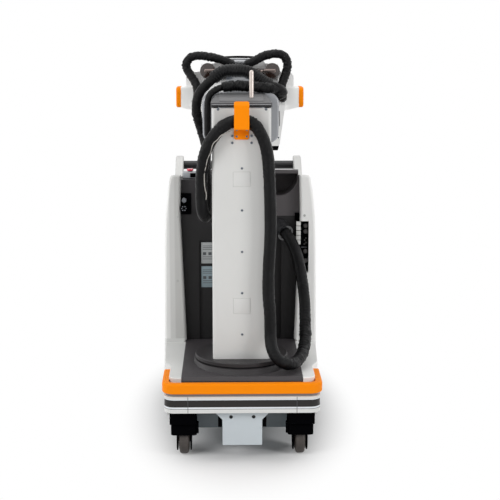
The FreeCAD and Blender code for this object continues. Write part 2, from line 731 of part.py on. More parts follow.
def make_drive_axles():
    outer_x = DRIVE_INNER_X + DRIVE_WIDTH
    axis = (DRIVE_Y, DRIVE_RADIUS)
    motor = cylinder(MOTOR_RADIUS, (TRAY_HALF - RAIL_WIDTH,) + axis,
                     (DRIVE_INNER_X,) + axis)
    axle = cylinder(DRIVE_AXLE_RADIUS, (DRIVE_INNER_X - 1,) + axis, (outer_x - HUB_INSET - 2,) + axis)
    motor = motor.cut(box(0, DRIVE_INNER_X, TRAY_BACK, CABINET_BACK, FRAME_BOTTOM,
                          FRAME_BOTTOM + 2 * DRIVE_RADIUS))
    return both_sides(motor.fuse(axle).removeSplitter())


def fender_outline():
    """Right-hand panel seen from the front: x, z and bend radius, inner edge first."""
    foot = [(CABINET_HALF + TOUCH, PANEL_BOTTOM, 0), (CABINET_HALF + TOUCH, PLATFORM_TOP + 1, 2)]
    # x beyond the cabinet's side, z, bend radius
    beyond = [(-4.5, PLATFORM_TOP + 7, 2), (16.0, FENDER_TOP - 149, 900),
              (12.5, FENDER_TOP, 4), (54.0, FENDER_TOP, 16), (64.5, FENDER_TOP - 67, 200),
              (74.5, FENDER_TOP - 164, 500), (78.5, FENDER_TOP - 289, 900),
              (81.0, PANEL_BOTTOM + 340, 1200), (83.0, PANEL_BOTTOM + 190, 900),
              (87.0, PANEL_BOTTOM, 3)]
    return foot + [(CABINET_HALF + x, z, radius) for x, z, radius in beyond]


def above_fender(drop):
    """Block over the fender's top, which falls to the rear."""
    front = PANEL_FRONT + PANEL_EDGE
    top = FENDER_TOP + PANEL_WALL
    side = [(front, FENDER_TOP - drop, 0), (PANEL_BACK + 1, FENDER_TOP - FENDER_FALL - drop, 0),
            (PANEL_BACK + 1, top, 0), (front, top, 0)]
    return prism("yz", side, 0, LENGTH)


def make_side_panel():
    shape = prism("xz", fender_outline(), PANEL_FRONT, PANEL_BACK)

    def front_outer(point, edge):
        return (abs(point.y - PANEL_FRONT) < 0.01 and point.x > PANEL_MIDDLE
                and point.z > PANEL_BOTTOM + 1)

    shape = filleted(shape, PANEL_EDGE, front_outer).cut(above_fender(0))
    hollow_corners = [(FRAME_HALF - RAIL_WIDTH, 0.0, 0), (FRAME_HALF - RAIL_WIDTH, FENDER_TOP, 0)]
    for x, z, radius in fender_outline():
        if x > PANEL_MIDDLE:
            hollow_corners.append((x - PANEL_WALL, 0.0 if z < PANEL_BOTTOM + 1 else z, 0))
    hollow = prism("xz", hollow_corners, PANEL_FRONT + PANEL_RETURN, PANEL_BACK - PANEL_WALL)
    beside = box(0, CABINET_HALF + TOUCH, PANEL_FRONT + PANEL_RETURN, PANEL_BACK + 1, 0,
                 LENGTH)
    beside_cheek = box(0, CHEEK_HALF + TOUCH, PANEL_FRONT + PANEL_RETURN, POST_FRONT,
                       CHEEK_BOTTOM, LENGTH)
    hollow = hollow.cut(above_fender(PANEL_WALL))
    shape = shape.cut(hollow).cut(beside).cut(beside_cheek)
    flank = prism("xy", [
        (PLATFORM_HALF + TOUCH, FLANK_FRONT, 0),
        (BUMPER_HALF - BUMPER_WALL - TOUCH, FLANK_FRONT, FLANK_CORNER),
        (BUMPER_HALF - BUMPER_WALL - TOUCH, BUMPER_ARM + 5, 0),
        (BUMPER_HALF - 1, BUMPER_ARM + 60, 0),
        (FLANK_BACK_HALF - 1, PANEL_FRONT + PANEL_EDGE, 0),
        (PLATFORM_HALF + TOUCH, PANEL_FRONT + PANEL_EDGE, 0),
    ], BAND_TOP, FLANK_TOP)

    def flank_rim(point, edge):
        return (abs(point.z - FLANK_TOP) < 0.01 and point.x > PLATFORM_HALF + 1
                and point.y < PANEL_FRONT)

    flank = filleted(flank, 3.0, flank_rim)
    arch = cylinder(DRIVE_RADIUS + ARCH_GAP, (CABINET_HALF + TOUCH, DRIVE_Y, DRIVE_RADIUS),
                    (BUMPER_HALF + 30, DRIVE_Y, DRIVE_RADIUS))
    post_pocket = box(CABINET_HALF - 1, POST_OUTER + 1, POST_FRONT - 3, PANEL_BACK + 1,
                      POST_BOTTOM - 3, FENDER_TOP)
    shoulder = box(CABINET_HALF - 1, BUMPER_HALF + 30, POST_FRONT - 3, PANEL_BACK + 1,
                   POST_SHOULDER, FENDER_TOP)
    breaker_hole = box(BREAKER_LEFT - 8, BREAKER_RIGHT + 1, PANEL_FRONT - 1,
                       CABINET_FRONT + 1, BREAKER_BOTTOM - 1, BREAKER_TOP + 1)
    tie_x = BUMPER_HALF - 1
    tie = box(CHEEK_HALF, tie_x, TIE_Y, TIE_Y + PANEL_TIE, TIE_Z, TIE_Z + PANEL_TIE)
    low_tie = box(FRAME_HALF + TOUCH, tie_x, LOW_TIE_Y, LOW_TIE_Y + 2 * PANEL_TIE, LOW_TIE_Z,
                  LOW_TIE_Z + PANEL_TIE)
    plain = shape.multiFuse([flank, tie, low_tie]).cut(arch).cut(post_pocket).cut(shoulder)
    return plain.removeSplitter(), plain.cut(breaker_hole).removeSplitter()


def make_platform():
    lip = PLATFORM_FRONT
    corners = [(lip, PLATFORM_LIP_BOTTOM, 0), (lip, PLATFORM_TOP - 14, 2),
               (lip + 10, PLATFORM_TOP, 3), (CABINET_FRONT - 1, PLATFORM_TOP, 0),
               (CABINET_FRONT - 1, PLATFORM_TOP - PLATFORM_SKIN, 0),
               (lip + 20, PLATFORM_TOP - PLATFORM_SKIN, 0),
               (lip + 20, PLATFORM_LIP_BOTTOM, 0)]
    return prism("yz", corners, -PLATFORM_HALF, PLATFORM_HALF)


def ellipse_wire(half_x, half_y, z):
    centre = V(0, MAST_Y, z)
    curve = Part.Ellipse(centre + V(0, half_y, 0), centre + V(half_x, 0, 0), centre)
    return Part.Wire([curve.toShape()])


def make_ring_skirt():
    top = PLATFORM_TOP + RING_HEIGHT
    skirt = Part.makeLoft([ellipse_wire(*RING_FOOT, PLATFORM_TOP), ellipse_wire(*RING_TOP, top)],
                          True, True)
    return skirt.cut(cylinder(DISC_HUB_RADIUS / 2, (0, MAST_Y, PLATFORM_TOP), (0, MAST_Y, top)))


def make_disc():
    bottom = PLATFORM_TOP + RING_HEIGHT
    low = bottom + DISC_LIFT
    hub = cylinder(DISC_HUB_RADIUS, (0, MAST_Y, bottom), (0, MAST_Y, low))
    disc = cylinder(DISC_RADIUS, (0, MAST_Y, low), (0, MAST_Y, low + DISC_HEIGHT))
    disc = filleted(disc, 3.0, lambda point, edge: point.z > low + DISC_HEIGHT - 0.1)
    return disc.fuse(hub).removeSplitter()


def mast_section(inset, bottom, top):
    front_round = MAST_FRONT_ROUND - inset
    back_round = MAST_BACK_ROUND - inset
    half = MAST_HALF - inset
    front = MAST_FRONT + inset
    back = MAST_BACK - inset
    corners = [(-half, front, front_round), (half, front, front_round),
               (half, back, back_round), (-half, back, back_round)]
    return prism("xy", corners, bottom, top)


def make_mast():
    bottom = PLATFORM_TOP + RING_HEIGHT + DISC_LIFT + DISC_HEIGHT
    outer = mast_section(0, bottom, MAST_TOP)
    inner = mast_section(MAST_WALL, bottom + MAST_WALL, MAST_TOP + 1)
    return outer.cut(inner)


def make_hook():
    front = MAST_FRONT
    back_face = front - HOOK_PLATE
    tongue = front - HOOK_REACH
    shelf_top = HOOK_SHELF + HOOK_PLATE
    side = [(front, HOOK_BOTTOM, 0), (front, shelf_top, 0), (tongue + HOOK_PLATE, shelf_top, 3),
            (tongue + HOOK_PLATE, HOOK_TOP - HOOK_BEND, 3),
            (tongue + HOOK_BEND, HOOK_TOP - HOOK_PLATE, 3),
            (tongue + HOOK_LIP, HOOK_TOP - HOOK_PLATE, 0), (tongue + HOOK_LIP, HOOK_TOP, 0),
            (tongue + HOOK_BEND - 2, HOOK_TOP, 5), (tongue, HOOK_TOP - HOOK_BEND, 7),
            (tongue, HOOK_SHELF, 6),
            (back_face, HOOK_SHELF, 2), (back_face, HOOK_BOTTOM, 0)]
    hook = prism("yz", side, -HOOK_HALF, HOOK_HALF)
    outline = [(-HOOK_HALF, HOOK_BOTTOM, HOOK_CORNER), (HOOK_HALF, HOOK_BOTTOM, HOOK_CORNER),
               (HOOK_HALF, HOOK_TOP, HOOK_CORNER), (-HOOK_HALF, HOOK_TOP, HOOK_CORNER)]
    return hook.common(prism("xz", outline, tongue - 1, front + 1))


def make_inner_mast():
    bottom = PLATFORM_TOP + RING_HEIGHT + DISC_LIFT + DISC_HEIGHT + MAST_WALL + INNER_BOTTOM_GAP
    outer = prism("xy", [(-INNER_HALF, INNER_FRONT, INNER_ROUND), (INNER_HALF, INNER_FRONT, INNER_ROUND),
                         (INNER_HALF, INNER_BACK, INNER_ROUND), (-INNER_HALF, INNER_BACK, INNER_ROUND)],
                  bottom, CAP_BOTTOM)
    core = INNER_HALF - INNER_WALL
    inner = box(-core, core, INNER_FRONT + INNER_WALL, INNER_BACK - INNER_WALL,
                bottom - 1, CAP_BOTTOM - INNER_HEAD)
    pads = []
    pad_heights = (bottom + PAD_LOW, MAST_TOP - PAD_DROP)
    for low in pad_heights:
        pads.append(box(INNER_HALF - 1, MAST_HALF - MAST_WALL - RUNNING, INNER_FRONT + PAD_START,
                        INNER_FRONT + PAD_START + PAD_SIZE, low, low + PAD_SIZE))
    pads += [mirrored(pad) for pad in pads]
    return outer.cut(inner).multiFuse(pads).removeSplitter()


def make_mast_cap():
    front = MAST_FRONT - CAP_OVERHANG
    back = MAST_BACK + CARRIAGE_GAP
    half = MAST_HALF + CAP_SIDE
    slope = [(front, CAP_BOTTOM, 2), (back, CAP_BOTTOM, 0), (back, CAP_BACK_TOP, 0),
             (front + CAP_BEND, CAP_BACK_TOP - CAP_BEND_DROP, 20), (front, CAP_FRONT_TOP, 2)]
    shape = prism("yz", slope, -half, half)
    top_keep = prism("xz", [(-half, CAP_BOTTOM, 0), (half, CAP_BOTTOM, 0),
                            (half, CAP_FRONT_TOP, 0), (CAP_TOP_HALF, CAP_BACK_TOP, 8),
                            (-CAP_TOP_HALF, CAP_BACK_TOP, 8), (-half, CAP_FRONT_TOP, 0)],
                     front - 1, back + 1)
    bore = cylinder(GUIDE_RADIUS + TOUCH, (GUIDE_X, GUIDE_Y, CAP_BOTTOM + GUIDE_FOOT - TOUCH),
                    (GUIDE_X, GUIDE_Y, GUIDE_TOP))
    return shape.common(top_keep).cut(bore).removeSplitter()


def make_guide_post():
    rod = cylinder(GUIDE_RADIUS, (GUIDE_X, GUIDE_Y, CAP_BOTTOM + GUIDE_FOOT),
                   (GUIDE_X, GUIDE_Y, GUIDE_TOP - GUIDE_RADIUS))
    dome = Part.makeSphere(GUIDE_RADIUS, V(GUIDE_X, GUIDE_Y, GUIDE_TOP - GUIDE_RADIUS))
    return rod.fuse(dome).removeSplitter()


def boom_tube(half, height, front, back):
    return box(-half, half, front, back, BOOM_Z - height, BOOM_Z + height)


def make_carriage():
    front = MAST_BACK + CARRIAGE_GAP
    back = front + CARRIAGE_DEPTH
    corners = [(-CARRIAGE_BOTTOM_HALF, CARRIAGE_BOTTOM, CARRIAGE_LOW_ROUND),
               (CARRIAGE_BOTTOM_HALF, CARRIAGE_BOTTOM, CARRIAGE_LOW_ROUND),
               (CARRIAGE_TOP_HALF, CARRIAGE_TOP, CARRIAGE_HIGH_ROUND),
               (-CARRIAGE_TOP_HALF, CARRIAGE_TOP, CARRIAGE_HIGH_ROUND)]
    shape = prism("xz", corners, front, back)

    def rim(point, edge):
        return abs(point.y - back) < 0.01 or abs(point.y - front) < 0.01

    shape = filleted(shape, CARRIAGE_EDGE, rim)
    front_cavity = front + CARRIAGE_FLOOR
    return shape.cut(boom_tube(SLEEVE_HALF, SLEEVE_HEIGHT, front_cavity, back + 1))


def make_boom_sleeve():
    front = MAST_BACK + CARRIAGE_GAP + CARRIAGE_FLOOR
    outer = boom_tube(SLEEVE_HALF, SLEEVE_HEIGHT, front, SLEEVE_BACK)
    inner = boom_tube(SLEEVE_HALF - BOOM_WALL, SLEEVE_HEIGHT - BOOM_WALL, front - 1,
                      SLEEVE_BACK + 1)
    return outer.cut(inner)


def make_boom_stage():
    front = MAST_BACK + CARRIAGE_GAP + CARRIAGE_FLOOR + BOOM_STEP
    step = BOOM_WALL + BOOM_CLEAR
    outer = boom_tube(SLEEVE_HALF - step, SLEEVE_HEIGHT - step, front, STAGE_BACK)
    inner = boom_tube(SLEEVE_HALF - step - BOOM_WALL, SLEEVE_HEIGHT - step - BOOM_WALL,
                      front - 1, STAGE_BACK + 1)
    pads = []
    for side in (-1, 1):
        seat = BOOM_Z + side * (SLEEVE_HEIGHT - step)
        face = BOOM_Z + side * (SLEEVE_HEIGHT - BOOM_WALL - RUNNING)
        pads.append(box(-BOOM_PAD_HALF, BOOM_PAD_HALF, front, front + BOOM_PAD_LENGTH,
                        min(seat, face), max(seat, face)))
    return outer.cut(inner).multiFuse(pads).removeSplitter()


def make_boom_arm():
    front = MAST_BACK + CARRIAGE_GAP + CARRIAGE_FLOOR + 2 * BOOM_STEP
    step = 2 * (BOOM_WALL + BOOM_CLEAR)
    outer = boom_tube(SLEEVE_HALF - step, SLEEVE_HEIGHT - step, front, ARM_BACK)
    inner = boom_tube(SLEEVE_HALF - step - BOOM_WALL, SLEEVE_HEIGHT - step - BOOM_WALL,
                      front - 1, ARM_BACK + 1)
    pads = []
    for side in (-1, 1):
        seat = BOOM_Z + side * (SLEEVE_HEIGHT - step)
        face = BOOM_Z + side * (SLEEVE_HEIGHT - step + BOOM_CLEAR - RUNNING)
        pads.append(box(-BOOM_PAD_HALF, BOOM_PAD_HALF, front, front + BOOM_PAD_LENGTH,
                        min(seat, face), max(seat, face)))
    flange = cylinder(YOKE_DISC_RADIUS, (0, ARM_BACK, BOOM_Z), (0, ARM_BACK + FLANGE_THICK, BOOM_Z))
    return outer.cut(inner).multiFuse(pads + [flange]).removeSplitter()


def make_yoke():
    front = ARM_BACK + FLANGE_THICK
    disc = cylinder(YOKE_DISC_RADIUS, (0, front, BOOM_Z), (0, front + FLANGE_THICK, BOOM_Z))
    neck = box(-YOKE_NECK, YOKE_NECK, front + 1, HEAD_Y - HOUSING_RADIUS, BOOM_Z - YOKE_NECK,
               BOOM_Z + YOKE_NECK)
    grip = cylinder(YOKE_RING_RADIUS, (-YOKE_HALF, HEAD_Y, BOOM_Z), (YOKE_HALF, HEAD_Y, BOOM_Z))
    bore = cylinder(HOUSING_RADIUS + RUNNING, (-YOKE_HALF - 1, HEAD_Y, BOOM_Z),
                    (YOKE_HALF + 1, HEAD_Y, BOOM_Z))
    shape = grip.multiFuse([disc, neck]).cut(bore)
    open_back = box(-YOKE_HALF - 1, YOKE_HALF + 1, HEAD_Y + YOKE_WRAP, HEAD_Y + YOKE_RING_RADIUS + 1,
                    BOOM_Z - YOKE_RING_RADIUS - 1, BOOM_Z + YOKE_RING_RADIUS + 1)
    return shape.cut(open_back).removeSplitter()


def housing_cylinder():
    return cylinder(HOUSING_RADIUS, (-HOUSING_HALF, HEAD_Y, BOOM_Z), (HOUSING_HALF, HEAD_Y, BOOM_Z))


def yoke_channel():
    return cylinder(CHANNEL_RADIUS, (-CHANNEL_HALF, HEAD_Y, BOOM_Z),
                    (CHANNEL_HALF, HEAD_Y, BOOM_Z))


def make_wing():
    front = HEAD_Y - WING_DEPTH / 2
    back = HEAD_Y + WING_DEPTH / 2
    corners = [(HOUSING_HALF, WING_ROOT_BOTTOM, 0), (WING_END, WING_END_BOTTOM, 0),
               (WING_END, WING_TOP, 0), (HOUSING_HALF, WING_TOP, 0)]
    wing = prism("xz", corners, front, back)

    def long_edge(point, edge):
        lengthwise = abs(point.y - front) < 0.01 or abs(point.y - back) < 0.01
        return lengthwise and HOUSING_HALF + 1 < point.x < WING_END - 1

    return filleted(wing, WING_EDGE, long_edge)


def make_end_cap():
    front = HEAD_Y - WING_DEPTH / 2 - 1
    back = HEAD_Y + WING_DEPTH / 2 + 1
    corners = [(front, WING_END_BOTTOM - 1, END_CAP_ROUND), (back, WING_END_BOTTOM - 1, END_CAP_ROUND),
               (back, WING_TOP + 1, END_CAP_ROUND), (front, WING_TOP + 1, END_CAP_ROUND)]
    cap = prism("yz", corners, WING_END, WING_END + CAP_WIDTH)
    return filleted(cap, END_CAP_EDGE, lambda point, edge: point.x > WING_END + CAP_WIDTH - 0.1)


def make_cover():
    # x, z and bend radius of the right half: low shoulder, bump behind the socket, crown
    right = [(COVER_HALF, WING_TOP, 0), (COVER_HALF, COVER_SHOULDER, 20),
             (HV_X + HV_RADIUS + 3, COVER_SHOULDER + 6, 8), (HV_X + 24, HV_Z + 17, 12),
             (HV_X + 6, HV_Z + 26, 10), (HV_X - HV_RADIUS + 3, HV_Z + 27, 6),
             (COVER_CROWN, COVER_TOP, 10)]
    left = [(-x, z, radius) for x, z, radius in reversed(right)]
    cover = prism("xz", right + left, COVER_FRONT, COVER_BACK)
    return cover.cut(housing_cylinder()).cut(yoke_channel())


def make_shroud():
    front = HEAD_Y - SHROUD_DEPTH / 2
    back = HEAD_Y + SHROUD_DEPTH / 2
    corners = [(-SHROUD_BOTTOM_HALF, SHROUD_BOTTOM, 10), (SHROUD_BOTTOM_HALF, SHROUD_BOTTOM, 10),
               (SHROUD_TOP_HALF, SHROUD_TOP, 0), (-SHROUD_TOP_HALF, SHROUD_TOP, 0)]
    shroud = prism("xz", corners, front, back)
    wings = make_wing()
    bore = cylinder(TURRET_RADIUS + RUNNING, (0, HEAD_Y, SHROUD_BOTTOM - 1),
                    (0, HEAD_Y, SHROUD_BOTTOM + TURRET_DEPTH))
    shroud = shroud.cut(housing_cylinder()).cut(yoke_channel()).cut(bore)
    return shroud.cut(wings).cut(mirrored(wings))


def make_filter_rails():
    outer = SHROUD_BOTTOM_HALF - 2
    inner = outer - RAIL_WIDE
    depth = SHROUD_DEPTH / 2 - 4
    bottom = SHROUD_BOTTOM - RAIL_DROP
    side = [(inner, SHROUD_BOTTOM, 0), (inner, bottom + RAIL_LEDGE, 0),
            (inner - RAIL_LIP, bottom + RAIL_LEDGE, 0), (inner - RAIL_LIP, bottom, 0),
            (outer - 4, bottom, 3), (outer, SHROUD_BOTTOM, 0)]
    return both_sides(prism("xz", side, HEAD_Y - depth, HEAD_Y + depth))


def make_turret():
    return cylinder(TURRET_RADIUS, (0, HEAD_Y, SHROUD_BOTTOM - TURRET_DROP),
                    (0, HEAD_Y, SHROUD_BOTTOM + TURRET_DEPTH))


def make_hv_sockets():
    front = COVER_FRONT - HV_LENGTH
    bridge = box(-HV_X, HV_X, COVER_FRONT - BRIDGE_DEPTH, COVER_FRONT, BRIDGE_BOTTOM, BRIDGE_TOP)
    parts = []
    for side in (-1, 1):
        x = side * HV_X
        body = cylinder(HV_RADIUS, (x, front, HV_Z), (x, COVER_FRONT, HV_Z))
        body = filleted(body, HV_ROUND, lambda point, edge: point.y < front + 0.1)
        stub = cylinder(STUB_RADIUS, (x, front + HV_LENGTH / 3, HV_Z),
                        (x - side * STUB_REACH, front + HV_LENGTH / 3, HV_Z))
        parts += [body, stub]
    shape = bridge.multiFuse(parts).cut(housing_cylinder()).cut(yoke_channel())
    return shape.removeSplitter()


def make_tube_display():
    crown = DISPLAY_HEIGHT + DISPLAY_CROWN
    corners = [(-DISPLAY_WIDE, 0.0, 6), (DISPLAY_WIDE, 0.0, 6), (DISPLAY_WIDE, DISPLAY_HEIGHT, 12),
               (0.0, crown, 900), (-DISPLAY_WIDE, DISPLAY_HEIGHT, 12)]
    plate = prism("xz", corners, 0, DISPLAY_DEEP)
    plate.rotate(V(0, 0, 0), V(1, 0, 0), DISPLAY_TILT)
    plate.translate(V(0, COVER_BACK + DISPLAY_BACK, DISPLAY_FOOT))
    middle = DISPLAY_FOOT + DISPLAY_HEIGHT / 2
    bracket = box(-BRACKET_HALF, BRACKET_HALF, COVER_BACK, COVER_BACK + 2 * BRACKET_HEIGHT,
                  middle - BRACKET_HEIGHT, middle + BRACKET_HEIGHT)
    return plate.fuse(bracket).removeSplitter()


def cabinet_top_at(y):
    share = min(1.0, (y - RIM_Y) / (LOW_Y - RIM_Y))
    return RIM_TOP + (CABINET_LOW - RIM_TOP) * share


def cabinet_profile(half, bottom, back, drop):
    """Block with the cabinet's sloping top, lowered by drop."""
    side = [(CABINET_FRONT, bottom, 0), (CABINET_FRONT, CABINET_FACE_TOP - drop, 2),
            (RIM_Y, RIM_TOP - drop, 4), (LOW_Y, CABINET_LOW - drop, 40),
            (back, CABINET_LOW - drop, 0), (back, bottom, 0)]
    return prism("yz", side, -half, half)


def make_cabinet():
    low = FRAME_BOTTOM + FRAME_PLATE + RAIL_HEIGHT
    outer = cabinet_profile(CABINET_HALF, low, CABINET_BACK, 0)
    cheeks = [cabinet_profile(UPPER_HALF, CHEEK_BOTTOM, CHEEK_BACK, 0),
              cabinet_profile(CHEEK_HALF, CHEEK_BOTTOM, CHEEK_BACK, CHEEK_DROP)]
    outer = outer.multiFuse(cheeks)
    face = CABINET_FRONT + CABINET_FACE
    back = CABINET_BACK - CABINET_WALL
    inner = prism("yz", [(face, 0, 0), (face, cabinet_top_at(face) - CABINET_WALL, 0),
                         (LOW_Y, CABINET_LOW - CABINET_WALL, 0),
                         (back, CABINET_LOW - CABINET_WALL, 0), (back, 0, 0)],
                  -CABINET_HALF + CABINET_WALL, CABINET_HALF - CABINET_WALL)
    scoop_back = CABINET_FRONT + SCOOP_DEPTH
    scoop = cylinder(SCOOP_RADIUS, (SCOOP_X, CABINET_FRONT - 1, SCOOP_Z),
                     (SCOOP_X, scoop_back, SCOOP_Z))
    under_lip = prism("yz", [(CABINET_FRONT - 1, CHEEK_BOTTOM, 0),
                             (CABINET_FRONT - 1, CABINET_FACE_TOP - SCOOP_LIP, 0),
                             (RIM_Y, RIM_TOP - SCOOP_LIP, 0),
                             (scoop_back, cabinet_top_at(scoop_back) - SCOOP_LIP, 0),
                             (scoop_back, CHEEK_BOTTOM, 0)], 0, LENGTH)
    scoop = scoop.common(under_lip)
    scoop_wall = cylinder(SCOOP_RADIUS + CABINET_WALL, (SCOOP_X, CABINET_FRONT, SCOOP_Z),
                          (SCOOP_X, scoop_back + CABINET_WALL, SCOOP_Z))
    notch = box(-CHEEK_HALF - 1, NOTCH_RIGHT, CABINET_FRONT - 1, NOTCH_BACK, NOTCH_FLOOR,
                RIM_TOP + 1)
    notch_wall = box(-CABINET_HALF, NOTCH_RIGHT + CABINET_WALL, CABINET_FRONT,
                     NOTCH_BACK + CABINET_WALL, NOTCH_FLOOR - CABINET_WALL, RIM_TOP)
    shell = outer.cut(inner)
    walls = [scoop_wall.common(outer), notch_wall.common(outer)]
    shell = shell.multiFuse(walls).cut(scoop).cut(notch)
    recess = prism("xz", [(-RECESS_HALF, PLATFORM_TOP, 0), (RECESS_HALF, PLATFORM_TOP, 0),
                          (RECESS_HALF, RECESS_TOP, 10), (-RECESS_HALF, RECESS_TOP, 10)],
                   CABINET_FRONT - 1, CABINET_FRONT + RECESS_DEPTH)
    bin_hole = box(-BIN_HALF - TOUCH, BIN_HALF + TOUCH, BIN_FRONT - TOUCH, BIN_BACK + TOUCH,
                   CABINET_LOW - CABINET_WALL - 1, CABINET_LOW + 1)
    seat, mouth, axis = gland_axis()
    gland_hole = cylinder(GLAND_RADIUS + TOUCH, tuple(seat - axis * TOUCH), tuple(mouth))
    return shell.cut(recess).cut(bin_hole).cut(gland_hole).removeSplitter()


def gland_axis():
    start = V(*GLAND_BASE)
    mouth = V(*GLAND_MOUTH)
    axis = (mouth - start).normalize()
    return start - axis * GLAND_SINK, mouth, axis


def make_gland():
    seat, mouth, axis = gland_axis()
    outer = cylinder(GLAND_RADIUS, tuple(seat), tuple(mouth + axis * 6))
    inner = cylinder(HOSE / 2 + 4, tuple(mouth), tuple(mouth + axis * 7))
    return outer.cut(inner)


def make_labels():
    floor = CABINET_FRONT + RECESS_DEPTH
    plates = []
    for low, high in LABEL_HEIGHTS:
        plates.append(box(LABEL_LEFT, LABEL_RIGHT, floor - LABEL_THICK, floor, low, high))
    return Part.makeCompound(plates)


def make_breaker_panel():
    back = CABINET_FRONT - TOUCH
    face = (back + PANEL_FRONT) / 2
    plate = box(BREAKER_LEFT - 7, BREAKER_RIGHT, face, back, BREAKER_BOTTOM, BREAKER_TOP)
    switches = []
    for index in range(SWITCH_COUNT):
        low = SWITCH_BOTTOM + index * SWITCH_PITCH
        switches.append(box(BREAKER_LEFT - 4, BREAKER_LEFT + 13, face - SWITCH_PROUD, face, low,
                            low + SWITCH_PITCH - 3))
    knobs = []
    for z in KNOB_HEIGHTS:
        knobs.append(cylinder(KNOB_RADIUS, (BREAKER_LEFT + 33, face - SWITCH_PROUD, z),
                              (BREAKER_LEFT + 33, face, z)))
    return plate.multiFuse(switches + knobs).removeSplitter()


def make_connector_plate():
    face = CABINET_FRONT - SOCKET_DEPTH
    plate = box(SOCKET_LEFT, SOCKET_RIGHT, face, CABINET_FRONT, SOCKET_BOTTOM, SOCKET_TOP)
    plug = cylinder(PLUG_RADIUS, (SOCKET_X, CABINET_FRONT - PLUG_REACH, PLUG_Z),
                    (SOCKET_X, face, PLUG_Z))
    knob = cylinder(KNOB_RADIUS, (SOCKET_X, CABINET_FRONT - KNOB_REACH, KNOB_Z),
                    (SOCKET_X, face, KNOB_Z))
    return plate.multiFuse([plug, knob]).removeSplitter()


def make_emergency_stop():
    block = box(STOP_BLOCK_LEFT, STOP_BLOCK_RIGHT, STOP_Y - STOP_BLOCK_HALF,
                STOP_Y + STOP_BLOCK_HALF, NOTCH_FLOOR, STOP_BLOCK_TOP)
    neck = cylinder(STOP_NECK_RADIUS, (STOP_X, STOP_Y, STOP_BLOCK_TOP - 1),
                    (STOP_X, STOP_Y, STOP_HEAD_BOTTOM + 1))
    head = cylinder(STOP_HEAD_RADIUS, (STOP_X, STOP_Y, STOP_HEAD_BOTTOM),
                    (STOP_X, STOP_Y, STOP_HEAD_TOP))
    head = filleted(head, 3.0, lambda point, edge: point.z > STOP_HEAD_TOP - 0.1)
    return block.multiFuse([neck, head]).removeSplitter()


def deck_slab(half, front, back, low, high):
    """Plate lying along the cabinet's slope, its faces low and high above it."""
    side = [(front, cabinet_top_at(front) + low, 0), (back, cabinet_top_at(back) + low, 0),
            (back, cabinet_top_at(back) + high, 2), (front, cabinet_top_at(front) + high, 2)]
    return prism("yz", side, -half, half)


def make_console():
    return deck_slab(CONSOLE_HALF, CONSOLE_FRONT, CONSOLE_BACK, 0, CONSOLE_RISE)


def make_display():
    return deck_slab(DISPLAY_HALF, CONSOLE_FRONT + DISPLAY_MARGIN, CONSOLE_BACK - DISPLAY_MARGIN,
                     CONSOLE_RISE, CONSOLE_RISE + DISPLAY_THICK)


def make_bin():
    outer = box(-BIN_HALF, BIN_HALF, BIN_FRONT, BIN_BACK, BIN_BOTTOM, CABINET_LOW)
    flange = box(-BIN_HALF - BIN_RIM, BIN_HALF + BIN_RIM, BIN_FRONT - BIN_RIM,
                 BIN_BACK + BIN_RIM, CABINET_LOW, CABINET_LOW + BIN_FLANGE)
    inner = box(-BIN_HALF + BIN_WALL, BIN_HALF - BIN_WALL, BIN_FRONT + BIN_WALL,
                BIN_BACK - BIN_WALL, BIN_BOTTOM + BIN_WALL, CABINET_LOW + BIN_FLANGE + 1)
    return outer.fuse(flange).cut(inner).removeSplitter()


def make_rear_cover():
    half = CABINET_HALF - COVER_INSET
    top = CABINET_LOW - COVER_INSET
    corners = [(-half, COVER_BOTTOM, 20), (half, COVER_BOTTOM, 20), (half, top, 26),
               (-half, top, 26)]
    cover = prism("xz", corners, CABINET_BACK, CABINET_BACK + REAR_COVER_THICK)

    def rim(point, edge):
        return abs(point.y - CABINET_BACK - REAR_COVER_THICK) < 0.01

    return filleted(cover, 5.0, rim)


def make_handle_posts():
    # y, z and bend radius
    side = [(POST_FRONT, POST_BOTTOM, 0), (POST_FRONT + POST_THICK, POST_BOTTOM, 0),
            (POST_FRONT + POST_THICK + 10, POST_SHOULDER - 20, POST_BASE_ROUND),
            (POST_ELBOW_Y, POST_TOP - 97, POST_BASE_ROUND), (LENGTH, POST_TOP - 63, 18),
            (LENGTH, POST_TOP - 19, 12), (LENGTH - 14, POST_TOP, 12),
            (POST_ELBOW_Y - 8, POST_TOP, 20), (POST_FRONT, POST_SHOULDER + 40, 10)]
    post = prism("yz", side, POST_INNER, POST_OUTER)

    def long_rim(point, edge):
        at_side = abs(point.x - POST_INNER) < 0.01 or abs(point.x - POST_OUTER) < 0.01
        return at_side and point.z > POST_SHOULDER

    post = filleted(post, POST_EDGE, long_rim)
    foot = box(CABINET_HALF, POST_INNER + 1, POST_FRONT + 6, POST_FRONT + 26, POST_BOTTOM + 20,
               POST_BOTTOM + 100)
    return both_sides(post.fuse(foot).removeSplitter())


def make_handle_bar():
    return cylinder(BAR_RADIUS, (-POST_INNER, BAR_Y, BAR_Z), (POST_INNER, BAR_Y, BAR_Z))


